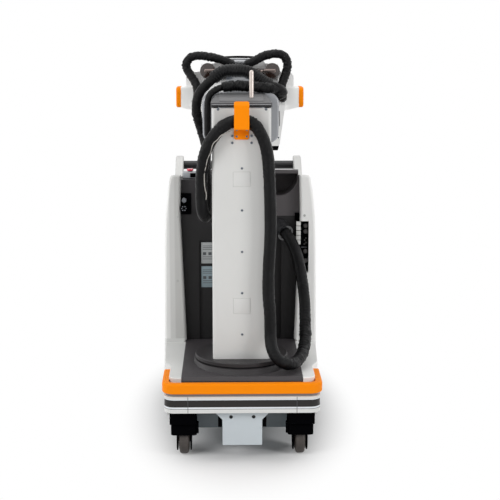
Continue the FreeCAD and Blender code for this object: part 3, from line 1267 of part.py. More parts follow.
def build():
    right_panel_plain, right_panel_cut = make_side_panel()
    nodes = {
        "chassis_frame": make_frame(),
        "battery_tray": make_battery_tray(),
        "battery_block": make_battery(),
        "front_bumper": make_bumper(),
        "lower_band": make_band(),
        "band_strip": make_strip(),
        "front_plate": make_front_plate(),
        "side_panel_right": right_panel_cut,
        "side_panel_left": mirrored(right_panel_plain),
        "platform_cover": make_platform(),
        "turntable_ring": make_ring_skirt(),
        "cabinet_body": make_cabinet(),
        "hose_gland": make_gland(),
        "label_plates": make_labels(),
        "breaker_panel": make_breaker_panel(),
        "connector_plate": make_connector_plate(),
        "emergency_stop": make_emergency_stop(),
        "console_deck": make_console(),
        "console_display": make_display(),
        "detector_bin": make_bin(),
        "rear_cover": make_rear_cover(),
        "handle_posts": make_handle_posts(),
        "drive_handle": make_handle_bar(),
        "drive_axles": make_drive_axles(),
        "turntable_disc": make_disc(),
        "mast_shell": make_mast(),
        "hose_hook": make_hook(),
        "inner_mast": make_inner_mast(),
        "mast_cap": make_mast_cap(),
        "guide_post": make_guide_post(),
        "boom_carriage": make_carriage(),
        "boom_sleeve": make_boom_sleeve(),
        "boom_stage": make_boom_stage(),
        "boom_arm": make_boom_arm(),
        "head_yoke": make_yoke(),
        "tube_housing": housing_cylinder(),
        "tube_cover": make_cover(),
        "lower_shroud": make_shroud(),
        "filter_rails": make_filter_rails(),
        "tube_display": make_tube_display(),
        "hv_sockets": make_hv_sockets(),
        "beam_turret": make_turret(),
        "head_wings": both_sides(make_wing()),
        "end_caps": both_sides(make_end_cap()),
        "caster_hoods": both_sides(make_caster_hood(CASTER_X)),
        "hose_lower": tube("hose_lower", HOSE_LOWER, HOSE),
        "hose_upper": tube("hose_upper", HOSE_UPPER, HOSE),
        "hose_return": tube("hose_return", HOSE_RETURN, RETURN_HOSE),
        "sleeve_front": tube("sleeve_front", SLEEVE_FRONT, FRONT_SLEEVE),
        "ear_cable_left": tube("ear_cable_left", EAR_LEFT, EAR_CABLE),
        "ear_cable_right": tube("ear_cable_right", EAR_RIGHT, EAR_CABLE),
    }
    for side, x in (("left", -CASTER_X), ("right", CASTER_X)):
        nodes["caster_fork_" + side] = make_caster_fork(x)
        nodes["caster_wheel_" + side] = make_caster_wheel(x)
    tyre = make_drive_tyre()
    rim = make_drive_rim()
    nodes["drive_tyre_right"] = tyre
    nodes["drive_tyre_left"] = mirrored(tyre)
    nodes["drive_rim_right"] = rim
    nodes["drive_rim_left"] = mirrored(rim)
    return nodes


def main():
    os.makedirs("parts", exist_ok=True)
    for name, shape in build().items():
        placed = shape.copy()
        placed.translate(V(0, -LENGTH / 2, 0))
        if not placed.isValid():
            print("not valid:", name)
        solids = len(placed.Solids)
        if solids != 1:
            print(name, "has", solids, "solids")
        placed.exportStep("parts/" + name + ".step")


main()
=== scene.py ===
import math

import bmesh
import bpy
from mathutils import Matrix, Vector, kdtree, noise


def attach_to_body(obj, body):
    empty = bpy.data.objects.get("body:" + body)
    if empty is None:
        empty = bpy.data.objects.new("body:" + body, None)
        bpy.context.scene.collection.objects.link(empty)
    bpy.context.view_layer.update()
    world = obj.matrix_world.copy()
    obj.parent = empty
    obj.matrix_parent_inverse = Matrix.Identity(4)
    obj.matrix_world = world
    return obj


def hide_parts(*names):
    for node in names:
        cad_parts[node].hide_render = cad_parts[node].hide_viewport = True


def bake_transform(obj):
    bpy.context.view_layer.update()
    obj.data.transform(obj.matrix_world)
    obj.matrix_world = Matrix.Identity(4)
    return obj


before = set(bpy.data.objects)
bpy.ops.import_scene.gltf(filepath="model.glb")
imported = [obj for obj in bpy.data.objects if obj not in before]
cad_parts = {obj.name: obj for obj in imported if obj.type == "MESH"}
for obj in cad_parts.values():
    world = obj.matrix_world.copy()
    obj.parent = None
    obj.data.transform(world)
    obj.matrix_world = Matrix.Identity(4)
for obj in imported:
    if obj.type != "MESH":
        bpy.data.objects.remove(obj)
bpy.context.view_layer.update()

# Pieces are drawn in millimetres with Y from the bumper's front, then put in the frame.
BACK_TO_MIDDLE = 0.645
TO_FRAME = Matrix.Translation((0, -BACK_TO_MIDDLE, 0)) @ Matrix.Scale(0.001, 4)


# Finishes

class Wire:
    """A shader output that takes part in sums, each adding its own Math node."""

    def __init__(self, finish, socket):
        self.finish = finish
        self.socket = socket

    def maths(self, operation, *values):
        inputs = dict(enumerate(values))
        return self.finish.add("ShaderNodeMath", {"operation": operation}, inputs)

    def __add__(self, other):
        return self.maths("ADD", self, other)

    def __sub__(self, other):
        return self.maths("SUBTRACT", self, other)

    def __mul__(self, other):
        return self.maths("MULTIPLY", self, other)

    def __radd__(self, other):
        return self.maths("ADD", other, self)

    def __rsub__(self, other):
        return self.maths("SUBTRACT", other, self)

    def above(self, level, soft):
        """0 below level, 1 above it, over a soft step."""
        settings = {"interpolation_type": "SMOOTHSTEP"}
        inputs = {"Value": self, "From Min": level - soft, "From Max": level + soft}
        return self.finish.add("ShaderNodeMapRange", settings, inputs)


class Finish:
    """A node material under construction."""

    def __init__(self, name):
        self.material = bpy.data.materials.new(name)
        self.material.use_nodes = True
        self.tree = self.material.node_tree
        self.tree.nodes.clear()

    def add(self, kind, settings=None, inputs=None, output=0):
        node = self.tree.nodes.new(kind)
        for key, value in (settings or {}).items():
            setattr(node, key, value)
        for key, value in (inputs or {}).items():
            socket = node.inputs[key]
            if isinstance(value, Wire):
                self.tree.links.new(value.socket, socket)
            else:
                socket.default_value = value
        return Wire(self, node.outputs[output]) if node.outputs else None

    def place(self, stretch=(1, 1, 1)):
        where = self.add("ShaderNodeTexCoord", output="Object")
        return self.add("ShaderNodeMapping", {}, {"Vector": where, "Scale": stretch})

    def grain(self, scale, detail=2.0, roughness=0.5, stretch=(1, 1, 1)):
        inputs = {"Vector": self.place(stretch), "Scale": scale, "Detail": detail,
                  "Roughness": roughness}
        return self.add("ShaderNodeTexNoise", {}, inputs)

    def cells(self, scale, stretch=(1, 1, 1)):
        inputs = {"Vector": self.place(stretch), "Scale": scale}
        return self.add("ShaderNodeTexVoronoi", {"feature": "F1"}, inputs)

    def along(self, axis):
        """The place on the piece along one axis, in metres."""
        where = self.add("ShaderNodeTexCoord", output="Object")
        return self.add("ShaderNodeSeparateXYZ", {}, {"Vector": where}, output=axis)

    def blend(self, share, first, second):
        """Colour first where share is 0, second where it is 1."""
        node = self.tree.nodes.new("ShaderNodeMix")
        node.data_type = "RGBA"
        for key, value in ((0, share), (6, first), (7, second)):
            if isinstance(value, Wire):
                self.tree.links.new(value.socket, node.inputs[key])
            elif key == 0:
                node.inputs[key].default_value = value
            else:
                node.inputs[key].default_value = (*value, 1)
        return Wire(self, node.outputs[2])

    def bump(self, height, depth, strength=1.0):
        inputs = {"Height": height, "Distance": depth, "Strength": strength}
        return self.add("ShaderNodeBump", {}, inputs)

    def close(self, colour, roughness, normal=None, metallic=0.0, coat=0.0, **more):
        inputs = {"Roughness": roughness, "Metallic": metallic, "Coat Weight": coat}
        inputs["Base Color"] = colour if isinstance(colour, Wire) else (*colour, 1)
        if normal is not None:
            inputs["Normal"] = normal
        for key, value in more.items():
            inputs[key.replace("_", " ")] = value
        shader = self.add("ShaderNodeBsdfPrincipled", {}, inputs)
        self.add("ShaderNodeOutputMaterial", {}, {"Surface": shader})
        return self.material


def tinted(colour, share):
    return tuple(channel * share for channel in colour)


def moulded(name, colour, roughness, pitch, depth, coat=0.0, dirt=0.93, **more):
    """Moulded plastic: fine grain, slight unevenness in colour and gloss."""
    finish = Finish(name)
    cloud = finish.grain(5.0, 3.0)
    tone = finish.blend(cloud, tinted(colour, dirt), tinted(colour, 2 - dirt))
    gloss = roughness + (finish.grain(18.0, 2.0) - 0.5) * 0.12
    texture = finish.grain(1 / pitch, 2.0, 0.6)
    return finish.close(tone, gloss, finish.bump(texture, depth), coat=coat, **more)


def powder_coat(name, colour, roughness, **more):
    """Sprayed paint on sheet metal: orange peel and a faint cloudiness."""
    finish = Finish(name)
    cloud = finish.grain(3.0, 3.0)
    tone = finish.blend(cloud, tinted(colour, 0.97), tinted(colour, 1.03))
    peel = finish.grain(420.0, 1.0) * 0.7 + finish.grain(1400.0, 1.0) * 0.3
    gloss = roughness + (finish.grain(9.0, 2.0) - 0.5) * 0.08
    return finish.close(tone, gloss, finish.bump(peel, 0.00025), coat=0.12, **more)


def cabinet_cover(name, low, high, panel):
    """Dark moulding, paler towards the top, with a greyer panel at the upper right that is painted
    light where the tilted panel catches it.
    """
    finish = Finish(name)
    level = finish.along("Z")
    right = finish.along("X").above(0.05, 0.001)
    rise = level.above(0.86, 0.13)
    tone = finish.blend(rise, low, high)
    # greyer panel at the upper right: painted light
    tone = finish.blend(right * level.above(0.811, 0.0006), tone, panel)
    seam = level.above(0.8085, 0.0006) - level.above(0.811, 0.0006)
    tone = finish.blend(right * seam, tone, (0.002, 0.002, 0.002))
    gloss = 0.5 + (finish.grain(18.0, 2.0) - 0.5) * 0.12
    texture = finish.grain(900.0, 2.0, 0.6)
    return finish.close(tone, gloss, finish.bump(texture, 0.0004), Specular_IOR_Level=0.25)


def fender_painted_shading(name, inner, middle, outer):
    """White moulding that brightens towards its outer edge, above the bumper's flank: painted shade on
    the inner bands and painted light on the outer one.
    """
    finish = Finish(name)
    across = 0.0 - finish.along("X")
    # painted shade on the inner bands, painted light at the outer edge
    tone = finish.blend(across.above(0.261, 0.004), inner, middle)
    tone = finish.blend(across.above(0.281, 0.004), tone, outer)
    tone = finish.blend(finish.along("Z").above(0.3186, 0.001), WHITE, tone)
    gloss = 0.42 + (finish.grain(18.0, 2.0) - 0.5) * 0.1
    texture = finish.grain(900.0, 2.0, 0.6)
    return finish.close(tone, gloss, finish.bump(texture, 0.0001), coat=0.08)


def turned_metal(name, colour, roughness, stretch=(1, 1, 1), pitch=0.0008):
    """Metal with fine lines left by the tool."""
    finish = Finish(name)
    lines = finish.grain(1 / pitch, 3.0, 0.6, stretch)
    tone = finish.blend(lines, tinted(colour, 0.88), tinted(colour, 1.08))
    gloss = roughness + (lines - 0.5) * 0.15
    return finish.close(tone, gloss, finish.bump(lines, 0.0001), metallic=1.0)


def rubber(name, colour, roughness):
    finish = Finish(name)
    dust = finish.grain(30.0, 5.0, 0.7).above(0.55, 0.18)
    tone = finish.blend(dust * 0.5, colour, tinted(colour, 2.2))
    skin = finish.grain(700.0, 2.0) + finish.grain(60.0, 3.0) * 0.6
    return finish.close(tone, roughness + dust * 0.12, finish.bump(skin, 0.0004))


def sleeve_leather(name, colour, shine):
    """Coated black fabric: a fine weave under a satin skin, with soft creases, paler on the fold
    crests as a painted sheen.
    """
    finish = Finish(name)
    warp = finish.add("ShaderNodeTexWave", {"bands_direction": "DIAGONAL"},
                      {"Vector": finish.place(), "Scale": 190.0, "Distortion": 1.5,
                       "Detail": 2.0, "Detail Scale": 2.0})
    crease = finish.grain(45.0, 4.0, 0.62, (1, 1, 0.55))
    fold = finish.grain(16.0, 3.0, 0.55)
    weave = finish.cells(900.0)
    relief = crease * 1.1 + fold * 1.4 + warp * 0.08 + weave * 0.10
    # painted sheen: the fold crests made paler
    fold_sheen = fold.above(0.62, 0.16)
    tone = finish.blend(fold_sheen, colour, tinted(colour, 1.9))
    gloss = shine + (crease - 0.5) * 0.35
    return finish.close(tone, gloss, finish.bump(relief, 0.0034, 0.8), Specular_IOR_Level=0.14)


def blank_plate(name, colour):
    """Foil plate, left blank."""
    finish = Finish(name)
    foil = finish.grain(220.0, 2.0, 0.5, (1, 1, 12))
    tone = finish.blend(foil, tinted(colour, 0.9), tinted(colour, 1.1))
    return finish.close(tone, 0.42 + (foil - 0.5) * 0.1, finish.bump(foil, 0.00006),
                        metallic=0.35)


WHITE = (0.70, 0.705, 0.69)
# Whiter copies of the white moulding for the head and its wings: painted light that makes up for the
# head's weaker lighting.
HEAD_WHITE_PAINTED_LIGHT = (0.97, 0.97, 0.965)
WING_WHITE_PAINTED_LIGHT = (0.97, 0.97, 0.955)
MAST = (0.67, 0.67, 0.655)
ORANGE = (0.98, 0.265, 0.0005)
DARK = (0.021, 0.019, 0.021)
DECK = (0.042, 0.038, 0.041)
STEEL = (0.53, 0.58, 0.61)

finishes = {
    # handle posts: a darker copy of the white moulding, painted shade
    "post_painted_shade": moulded("post_moulding_painted_shade", (0.60, 0.60, 0.585), 0.42, 0.0011, 0.0001, coat=0.08,
                    dirt=0.985),
    "white": moulded("white_moulding", WHITE, 0.42, 0.0011, 0.00012, coat=0.08, dirt=0.98),
    # head cover: a whiter copy of the white moulding, painted light
    "head_white": moulded("head_moulding_painted_light", HEAD_WHITE_PAINTED_LIGHT, 0.42, 0.0011, 0.0001, coat=0.08,
                          dirt=0.985),
    "mast": powder_coat("mast_powder_coat", MAST, 0.45),
    "orange": moulded("orange_moulding", ORANGE, 0.5, 0.0016, 0.0001, dirt=0.97,
                      Specular_IOR_Level=0.1),
    # last colour: the upper-right panel's painted light
    "cabinet": cabinet_cover("cabinet_cover", (0.0085, 0.008, 0.0085), (0.030, 0.028, 0.030),
                             (0.085, 0.078, 0.081)),
    # left fender: darker inner bands are painted shade, the pale outer band is painted light
    "fender_left_painted_shading": fender_painted_shading("fender_left_painted_shading", (0.55, 0.55, 0.535), (0.66, 0.66, 0.645),
                               (0.83, 0.83, 0.815)),
    # right fender: a lighter copy of the white moulding, painted light
    "fender_right_painted_light": moulded("fender_right_painted_light", (0.90, 0.90, 0.885), 0.42, 0.0011, 0.0001,
                            coat=0.08, dirt=0.985),
    "dark": moulded("dark_textured_cover", DARK, 0.5, 0.0011, 0.0004, Specular_IOR_Level=0.3),
    "deck": moulded("dark_deck_texture", DECK, 0.47, 0.0013, 0.0005, Specular_IOR_Level=0.4),
    "disc": moulded("dark_disc", (0.026, 0.0235, 0.025), 0.45, 0.0013, 0.0003,
                    Specular_IOR_Level=0.3),
    # wings: a whiter copy of the white moulding, painted light
    "wing": moulded("wing_moulding_painted_light", WING_WHITE_PAINTED_LIGHT, 0.42, 0.0011, 0.0001, coat=0.08, dirt=0.985),
    # pale lines on the dark strip's edges: painted highlight
    "edge_pale": moulded("strip_edge_highlight_moulding", (0.78, 0.82, 0.86), 0.4, 0.002, 0.00005),
    "dark_knob": moulded("dark_knob", (0.03, 0.026, 0.025), 0.3, 0.002, 0.0001),
    "carriage": moulded("carriage_grey", (0.30, 0.31, 0.33), 0.25, 0.004, 0.0001, coat=0.4),
    "recess": moulded("black_recess", (0.007, 0.007, 0.008), 0.5, 0.0012, 0.0002,
                      Specular_IOR_Level=0.2),
    "strip": moulded("strip_smooth", (0.020, 0.018, 0.017), 0.4, 0.002, 0.0001,
                     Specular_IOR_Level=0.25),
    "cap": moulded("cap_grey", (0.062, 0.062, 0.065), 0.5, 0.0012, 0.0003),
    "cap_plate": moulded("cap_plate_grey", (0.09, 0.09, 0.093), 0.45, 0.0012, 0.0003),
    "graphite": moulded("graphite_gloss", (0.075, 0.082, 0.095), 0.2, 0.004, 0.0001, coat=0.5),
    "steel": powder_coat("grey_steel_paint", STEEL, 0.4),
    "tray": powder_coat("tray_paint", (0.165, 0.20, 0.22), 0.4),
    "frame": powder_coat("frame_paint", (0.20, 0.23, 0.26), 0.5),
    "block": moulded("battery_case", (0.03, 0.03, 0.03), 0.6, 0.002, 0.0003),
    "caster": moulded("caster_black", (0.002, 0.002, 0.0025), 0.42, 0.0014, 0.0002,
                      Specular_IOR_Level=0.0),
    "tread": rubber("caster_tread", (0.040, 0.033, 0.029), 0.55),
    "tyre": rubber("tyre_rubber", (0.022, 0.022, 0.023), 0.6),
    "rim": turned_metal("rim_metal", (0.55, 0.57, 0.58), 0.35),
    "axle": turned_metal("axle_steel", (0.5, 0.5, 0.51), 0.3),
    "sleeve": sleeve_leather("sleeve_fabric", (0.0020, 0.0020, 0.0024), 0.40),
    "piping": moulded("sleeve_piping", (0.42, 0.40, 0.37), 0.55, 0.0006, 0.0002),
    "gland": moulded("gland_gloss", (0.018, 0.019, 0.021), 0.16, 0.004, 0.0001, coat=0.6),
    "plate": blank_plate("foil_plate", (0.19, 0.245, 0.27)),
    "plate_pale": blank_plate("foil_plate_pale", (0.31, 0.325, 0.325)),
    "field": moulded("printed_field", (0.05, 0.055, 0.06), 0.5, 0.001, 0.00002),
    "panel": moulded("panel_black", (0.0025, 0.0025, 0.003), 0.4, 0.002, 0.0001,
                     Specular_IOR_Level=0.0),
    "red": moulded("stop_red", (0.74, 0.045, 0.09), 0.3, 0.003, 0.00005, coat=0.5),
    "glass": moulded("screen_glass", (0.012, 0.013, 0.015), 0.06, 0.01, 0.00002, coat=1.0),
    "grip": moulded("grip_rubber", (0.008, 0.008, 0.009), 0.34, 0.0009, 0.0002,
                    Specular_IOR_Level=0.4),
    "guide": turned_metal("guide_post_metal", (0.46, 0.41, 0.38), 0.34, (1, 1, 0.1)),
    "boom": turned_metal("boom_anodised", (0.58, 0.6, 0.62), 0.4, (1, 0.05, 1)),
    "socket": moulded("socket_brown", (0.022, 0.011, 0.008), 0.14, 0.004, 0.0001, coat=0.7),
    "stub": turned_metal("socket_metal", (0.16, 0.13, 0.12), 0.2, (0.1, 1, 1)),
    "screw": turned_metal("screw_steel", (0.20, 0.22, 0.25), 0.34),
    "screw_pale": moulded("screw_cap", (0.50, 0.51, 0.50), 0.4, 0.002, 0.0001),
    # grey for the white lip under the bumper: painted shade
    "gap": moulded("gap_painted_shade_grey", (0.20, 0.20, 0.205), 0.5, 0.002, 0.0001),
    # flat dark screw sockets and hole backs: painted shade
    "hole": moulded("hole_painted_shade", (0.006, 0.006, 0.006), 0.7, 0.002, 0.0001),
    "seam": moulded("seam_shadow", (0.07, 0.074, 0.078), 0.6, 0.002, 0.0001),
    "seam_pale": moulded("seam_pale", (0.46, 0.46, 0.44), 0.6, 0.002, 0.0001),
    "grey": moulded("light_grey_moulding", (0.42, 0.44, 0.46), 0.42, 0.0011, 0.0002),
    "knob": moulded("knob_grey", (0.17, 0.18, 0.20), 0.35, 0.002, 0.0001),
    "toggle": moulded("toggle_white", (0.72, 0.72, 0.70), 0.32, 0.002, 0.0001),
    "silver": turned_metal("silver_trim", (0.62, 0.63, 0.65), 0.28, (0.05, 1, 1)),
    "visor": moulded("visor_grey", (0.05, 0.05, 0.055), 0.3, 0.003, 0.0001, coat=0.3),
}

# The finish of each CAD piece that is shown as it is
CAD_FINISHES = {
    "frame": ["chassis_frame"],
    "steel": ["front_plate"],
    "tray": ["battery_tray"],
    "block": ["battery_block"],
    "orange": ["front_bumper", "hose_hook", "end_caps"],
    "white": ["lower_band", "rear_cover"],
    "post_painted_shade": ["handle_posts"],
    "fender_left_painted_shading": ["side_panel_left"],
    "fender_right_painted_light": ["side_panel_right"],
    "head_white": ["tube_housing", "tube_cover"],
    "wing": ["lower_shroud", "head_wings"],
    "strip": ["band_strip"],
    "deck": ["platform_cover"],
    "disc": ["turntable_disc", "turntable_ring"],
    "cabinet": ["cabinet_body"],
    "dark": ["console_deck", "detector_bin"],
    "gland": ["hose_gland"],
    "plate": ["label_plates"],
    "panel": ["breaker_panel", "connector_plate", "filter_rails", "tube_display"],
    "red": ["emergency_stop"],
    "glass": ["console_display"],
    "grip": ["drive_handle"],
    "axle": ["drive_axles"],
    "mast": ["mast_shell"],
    "boom": ["inner_mast", "boom_sleeve", "boom_stage", "boom_arm"],
    "cap": ["mast_cap"],
    "guide": ["guide_post"],
    "graphite": ["head_yoke"],
    "carriage": ["boom_carriage"],
    "socket": ["hv_sockets"],
    "recess": ["beam_turret"],
    "caster": ["caster_hoods", "caster_fork_left", "caster_fork_right"],
    "tread": ["caster_wheel_left", "caster_wheel_right"],
    "tyre": ["drive_tyre_left", "drive_tyre_right"],
    "rim": ["drive_rim_left", "drive_rim_right"],
}
# Bevel in millimetres on CAD pieces whose edges are sharp in the source
SOFT_EDGES = {
    "chassis_frame": 1.5, "battery_tray": 1.5, "front_plate": 1.2, "lower_band": 1.5,
    "platform_cover": 1.5, "cabinet_body": 2.0, "console_deck": 1.5, "detector_bin": 1.0,
    "mast_cap": 2.5, "boom_sleeve": 1.5, "hose_hook": 0.8, "side_panel_left": 2.0,
    "side_panel_right": 2.0, "head_wings": 1.0, "tube_cover": 4.0, "lower_shroud": 3.0,
    "breaker_panel": 0.8, "connector_plate": 0.8, "label_plates": 0.4, "turntable_ring": 2.0,
}

for finish_name, node_names in CAD_FINISHES.items():
    for node_name in node_names:
        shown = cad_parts[node_name]
        shown.data.materials.clear()
        shown.data.materials.append(finishes[finish_name])
for node_name, width in SOFT_EDGES.items():
    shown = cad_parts[node_name]
    if "custom_normal" in shown.data.attributes:
        shown.data.attributes.remove(shown.data.attributes["custom_normal"])
    weld = shown.modifiers.new("weld", "WELD")
    weld.merge_threshold = 0.00001
    soften = shown.modifiers.new("soften", "BEVEL")
    soften.width = width / 1000
    soften.segments = 3
    soften.limit_method = "ANGLE"
    soften.angle_limit = math.radians(38)
    soften.use_clamp_overlap = True
    even = shown.modifiers.new("even", "WEIGHTED_NORMAL")
    even.keep_sharp = True


# Shared places in millimetres: casters, drive wheels, column face and head

CASTER_X = 213
CASTER_AXLE = (108, 58)
DRIVE_X = 255
DRIVE_Y = 1000
DRIVE_Z = 150
COLUMN_FACE = 167
HEAD_FACE = 656
SOCKET_X = 126
SOCKET_Z = 1385
CONNECTOR_X = -223
STOP_X = -200.5
STOP_Y = 672
BACK_FACE = 1177


# Making pieces

def finished(name, body, shape, finish, replaces=(), crease=40):
    """Puts a drawn shape in the frame as one piece that rides on a body."""
    shape.transform(TO_FRAME)
    bmesh.ops.recalc_face_normals(shape, faces=shape.faces)
    mesh = bpy.data.meshes.new(name)
    shape.to_mesh(mesh)
    shape.free()
    names = [finish] if isinstance(finish, str) else finish
    for each in names:
        mesh.materials.append(finishes[each])
    mesh.shade_smooth()
    mesh.set_sharp_from_angle(angle=math.radians(crease))
    piece = bpy.data.objects.new(name, mesh)
    bpy.context.scene.collection.objects.link(piece)
    if body:
        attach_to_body(piece, body)
    if replaces:
        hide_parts(*replaces)
    return piece


def faces_of(verts):
    return list({face for vert in verts for face in vert.link_faces})


def edges_of(verts):
    return list({edge for vert in verts for edge in vert.link_edges})


def paint(verts, index):
    for face in faces_of(verts):
        face.material_index = index


def block(shape, low, high, soft=0.0, index=0):
    """Box between two corners, its edges rounded by soft."""
    middle = (Vector(low) + Vector(high)) / 2
    size = Vector(high) - Vector(low)
    matrix = Matrix.Translation(middle) @ Matrix.Diagonal((*size, 1))
    verts = bmesh.ops.create_cube(shape, size=1.0, matrix=matrix)["verts"]
    paint(verts, index)
    if soft > 0:
        bmesh.ops.bevel(shape, geom=edges_of(verts), offset=soft, segments=3,
                        profile=0.5, affect="EDGES", material=-1, clamp_overlap=True)


def rod(shape, start, end, radius, index=0, soft=0.0, sides=32):
    """Round bar from start to end, its rims rounded by soft."""
    start = Vector(start)
    axis = Vector(end) - start
    turn = axis.to_track_quat("Z", "Y").to_matrix().to_4x4()
    matrix = Matrix.Translation(start + axis / 2) @ turn
    verts = bmesh.ops.create_cone(shape, cap_ends=True, segments=sides, radius1=radius,
                                  radius2=radius, depth=axis.length, matrix=matrix)["verts"]
    paint(verts, index)
    if soft > 0:
        rims = [edge for face in faces_of(verts) if len(face.verts) > 4 for edge in face.edges]
        bmesh.ops.bevel(shape, geom=rims, offset=soft, segments=3, profile=0.5,
                        affect="EDGES", material=-1, clamp_overlap=True)


def slab(shape, outline, plane, start, end, soft=0.0, index=0):
    """Flat outline of (a, b) corners in xy, xz or yz, pulled along the third axis."""
    order = {"xy": lambda a, b, c: (a, b, c), "xz": lambda a, b, c: (a, c, b),
             "yz": lambda a, b, c: (c, a, b)}[plane]
    along = Vector(order(0, 0, end - start))
    face = shape.faces.new([shape.verts.new(order(a, b, start)) for a, b in outline])
    pulled = bmesh.ops.extrude_face_region(shape, geom=[face])["geom"]
    moved = [item for item in pulled if isinstance(item, bmesh.types.BMVert)]
    bmesh.ops.translate(shape, verts=moved, vec=along)
    if not face.is_valid:
        face = shape.faces.new([vert for vert in face.verts])
    verts = moved + list(face.verts)
    bmesh.ops.recalc_face_normals(shape, faces=faces_of(verts))
    paint(verts, index)
    if soft > 0:
        bmesh.ops.bevel(shape, geom=edges_of(verts), offset=soft, segments=3, profile=0.5,
                        affect="EDGES", material=-1, clamp_overlap=True)


def screw(shape, place, facing, radius, height=1.6):
    """Button-head screw with a hexagon socket, standing on a surface; the socket is a flat hexagon in
    the second finish, painted shade for its depth.
    """
    facing = Vector(facing).normalized()
    turn = facing.to_track_quat("Z", "Y").to_matrix().to_4x4()
    seat = Vector(place)
    rod(shape, seat - facing, seat + facing * height, radius, soft=height * 0.6, sides=20)
    deep = Matrix.Translation(seat + facing * (height + 0.02)) @ turn
    verts = bmesh.ops.create_circle(shape, cap_ends=True, segments=6, radius=radius * 0.48,
                                    matrix=deep)["verts"]
    paint(verts, 1)


# Hoses: routes in metres, as in the source

HOSE_LOWER = [
    (0.177, -0.083, 0.75), (0.18915, -0.1082, 0.73875), (0.212, -0.137, 0.7),
    (0.23, -0.159, 0.645), (0.241, -0.186, 0.575), (0.249, -0.223, 0.505), (0.248, -0.27, 0.44),
    (0.245, -0.341, 0.385), (0.233, -0.419, 0.349), (0.204, -0.499, 0.334),
    (0.173, -0.547, 0.336), (0.135, -0.561, 0.352), (0.109, -0.541, 0.392),
    (0.104, -0.514, 0.432), (0.104, -0.514, 0.465),
]
HOSE_UPPER = [
    (0.104, -0.514, 0.465), (0.104, -0.514, 0.51), (0.096, -0.509, 0.592), (0.098, -0.507, 0.7),
    (0.105, -0.507, 0.81), (0.103, -0.507, 0.93), (0.099, -0.507, 1.04), (0.091, -0.506, 1.124),
    (0.066, -0.505, 1.187), (0.032, -0.505, 1.223), (-0.024, -0.505, 1.225),
    (-0.068, -0.505, 1.204), (-0.105, -0.505, 1.163), (-0.133, -0.495, 1.108),
    (-0.144, -0.463, 1.036), (-0.147, -0.445, 0.96), (-0.145, -0.442, 0.9),
    (-0.139, -0.434, 0.875), (-0.132, -0.413, 0.862), (-0.132, -0.385, 0.862),
]
HOSE_RETURN = [
    (-0.132, -0.385, 0.862), (-0.132, -0.357, 0.862), (-0.131, -0.331, 0.888),
    (-0.1305, -0.315, 0.945), (-0.1305, -0.269, 1.03), (-0.1305, -0.193, 1.09),
    (-0.141, -0.169, 1.14), (-0.156, -0.177, 1.184), (-0.168, -0.201, 1.23),
    (-0.168, -0.215, 1.27), (-0.156, -0.215, 1.31), (-0.126, -0.215, 1.341),
    (-0.096, -0.215, 1.368), (-0.064, -0.215, 1.391), (-0.014, -0.215, 1.392),
    (0.032, -0.215, 1.388), (0.07, -0.217, 1.36), (0.106, -0.225, 1.338), (0.142, -0.231, 1.326),
    (0.165, -0.207, 1.31), (0.15, -0.171, 1.294), (0.106, -0.153, 1.288), (0.056, -0.153, 1.288),
]
SLEEVE_FRONT = [
    (-0.1245, -0.27, 1.152), (-0.1245, -0.289, 1.152), (-0.1245, -0.3, 1.174),
    (-0.1245, -0.3, 1.281), (-0.115, -0.297, 1.307), (-0.088, -0.293, 1.326),
    (-0.052, -0.29, 1.336), (-0.01, -0.289, 1.338), (0.034, -0.287, 1.335),
    (0.074, -0.279, 1.331), (0.11, -0.259, 1.327), (0.142, -0.231, 1.323),
]
EAR_LEFT = [
    (-0.034, 0.01, 1.412), (-0.034, -0.018, 1.412), (-0.06, -0.029, 1.424),
    (-0.094, -0.031, 1.434), (-0.134, -0.028, 1.441), (-0.172, -0.026, 1.444),
    (-0.204, -0.025, 1.43), (-0.214, -0.025, 1.398), (-0.187, -0.033, 1.358),
    (-0.169, -0.045, 1.33), (-0.166, -0.053, 1.3), (-0.1685, -0.039, 1.278),
    (-0.1685, -0.015, 1.278),
]
EAR_RIGHT = [
    (0.03, 0.01, 1.41), (0.03, -0.018, 1.41), (0.056, -0.029, 1.422), (0.092, -0.031, 1.442),
    (0.132, -0.028, 1.452), (0.168, -0.026, 1.448), (0.187, -0.025, 1.424),
    (0.186, -0.025, 1.388), (0.172, -0.033, 1.352), (0.162, -0.045, 1.324),
    (0.166, -0.054, 1.298), (0.1685, -0.039, 1.277), (0.1685, -0.015, 1.277),
]


def route_curve(name, route, smooth=24):
    """The route as a smooth line with its points as control points."""
    data = bpy.data.curves.new(name, "CURVE")
    data.dimensions = "3D"
    line = data.splines.new("NURBS")
    line.points.add(len(route) - 1)
    for point, place in zip(line.points, route):
        point.co = (*place, 1)
    line.order_u = 3
    line.use_endpoint_u = True
    data.resolution_u = smooth
    line.resolution_u = smooth
    carrier = bpy.data.objects.new(name, data)
    bpy.context.scene.collection.objects.link(carrier)
    return carrier


def mesh_of(carrier):
    bpy.context.view_layer.update()
    graph = bpy.context.evaluated_depsgraph_get()
    return bpy.data.meshes.new_from_object(carrier.evaluated_get(graph))


def line_points(carrier):
    mesh = mesh_of(carrier)
    points = [vert.co.copy() for vert in mesh.vertices]
    bpy.data.meshes.remove(mesh)
    return points


def stations(points):
    run = [0.0]
    for before, after in zip(points, points[1:]):
        run.append(run[-1] + (after - before).length)
    return run


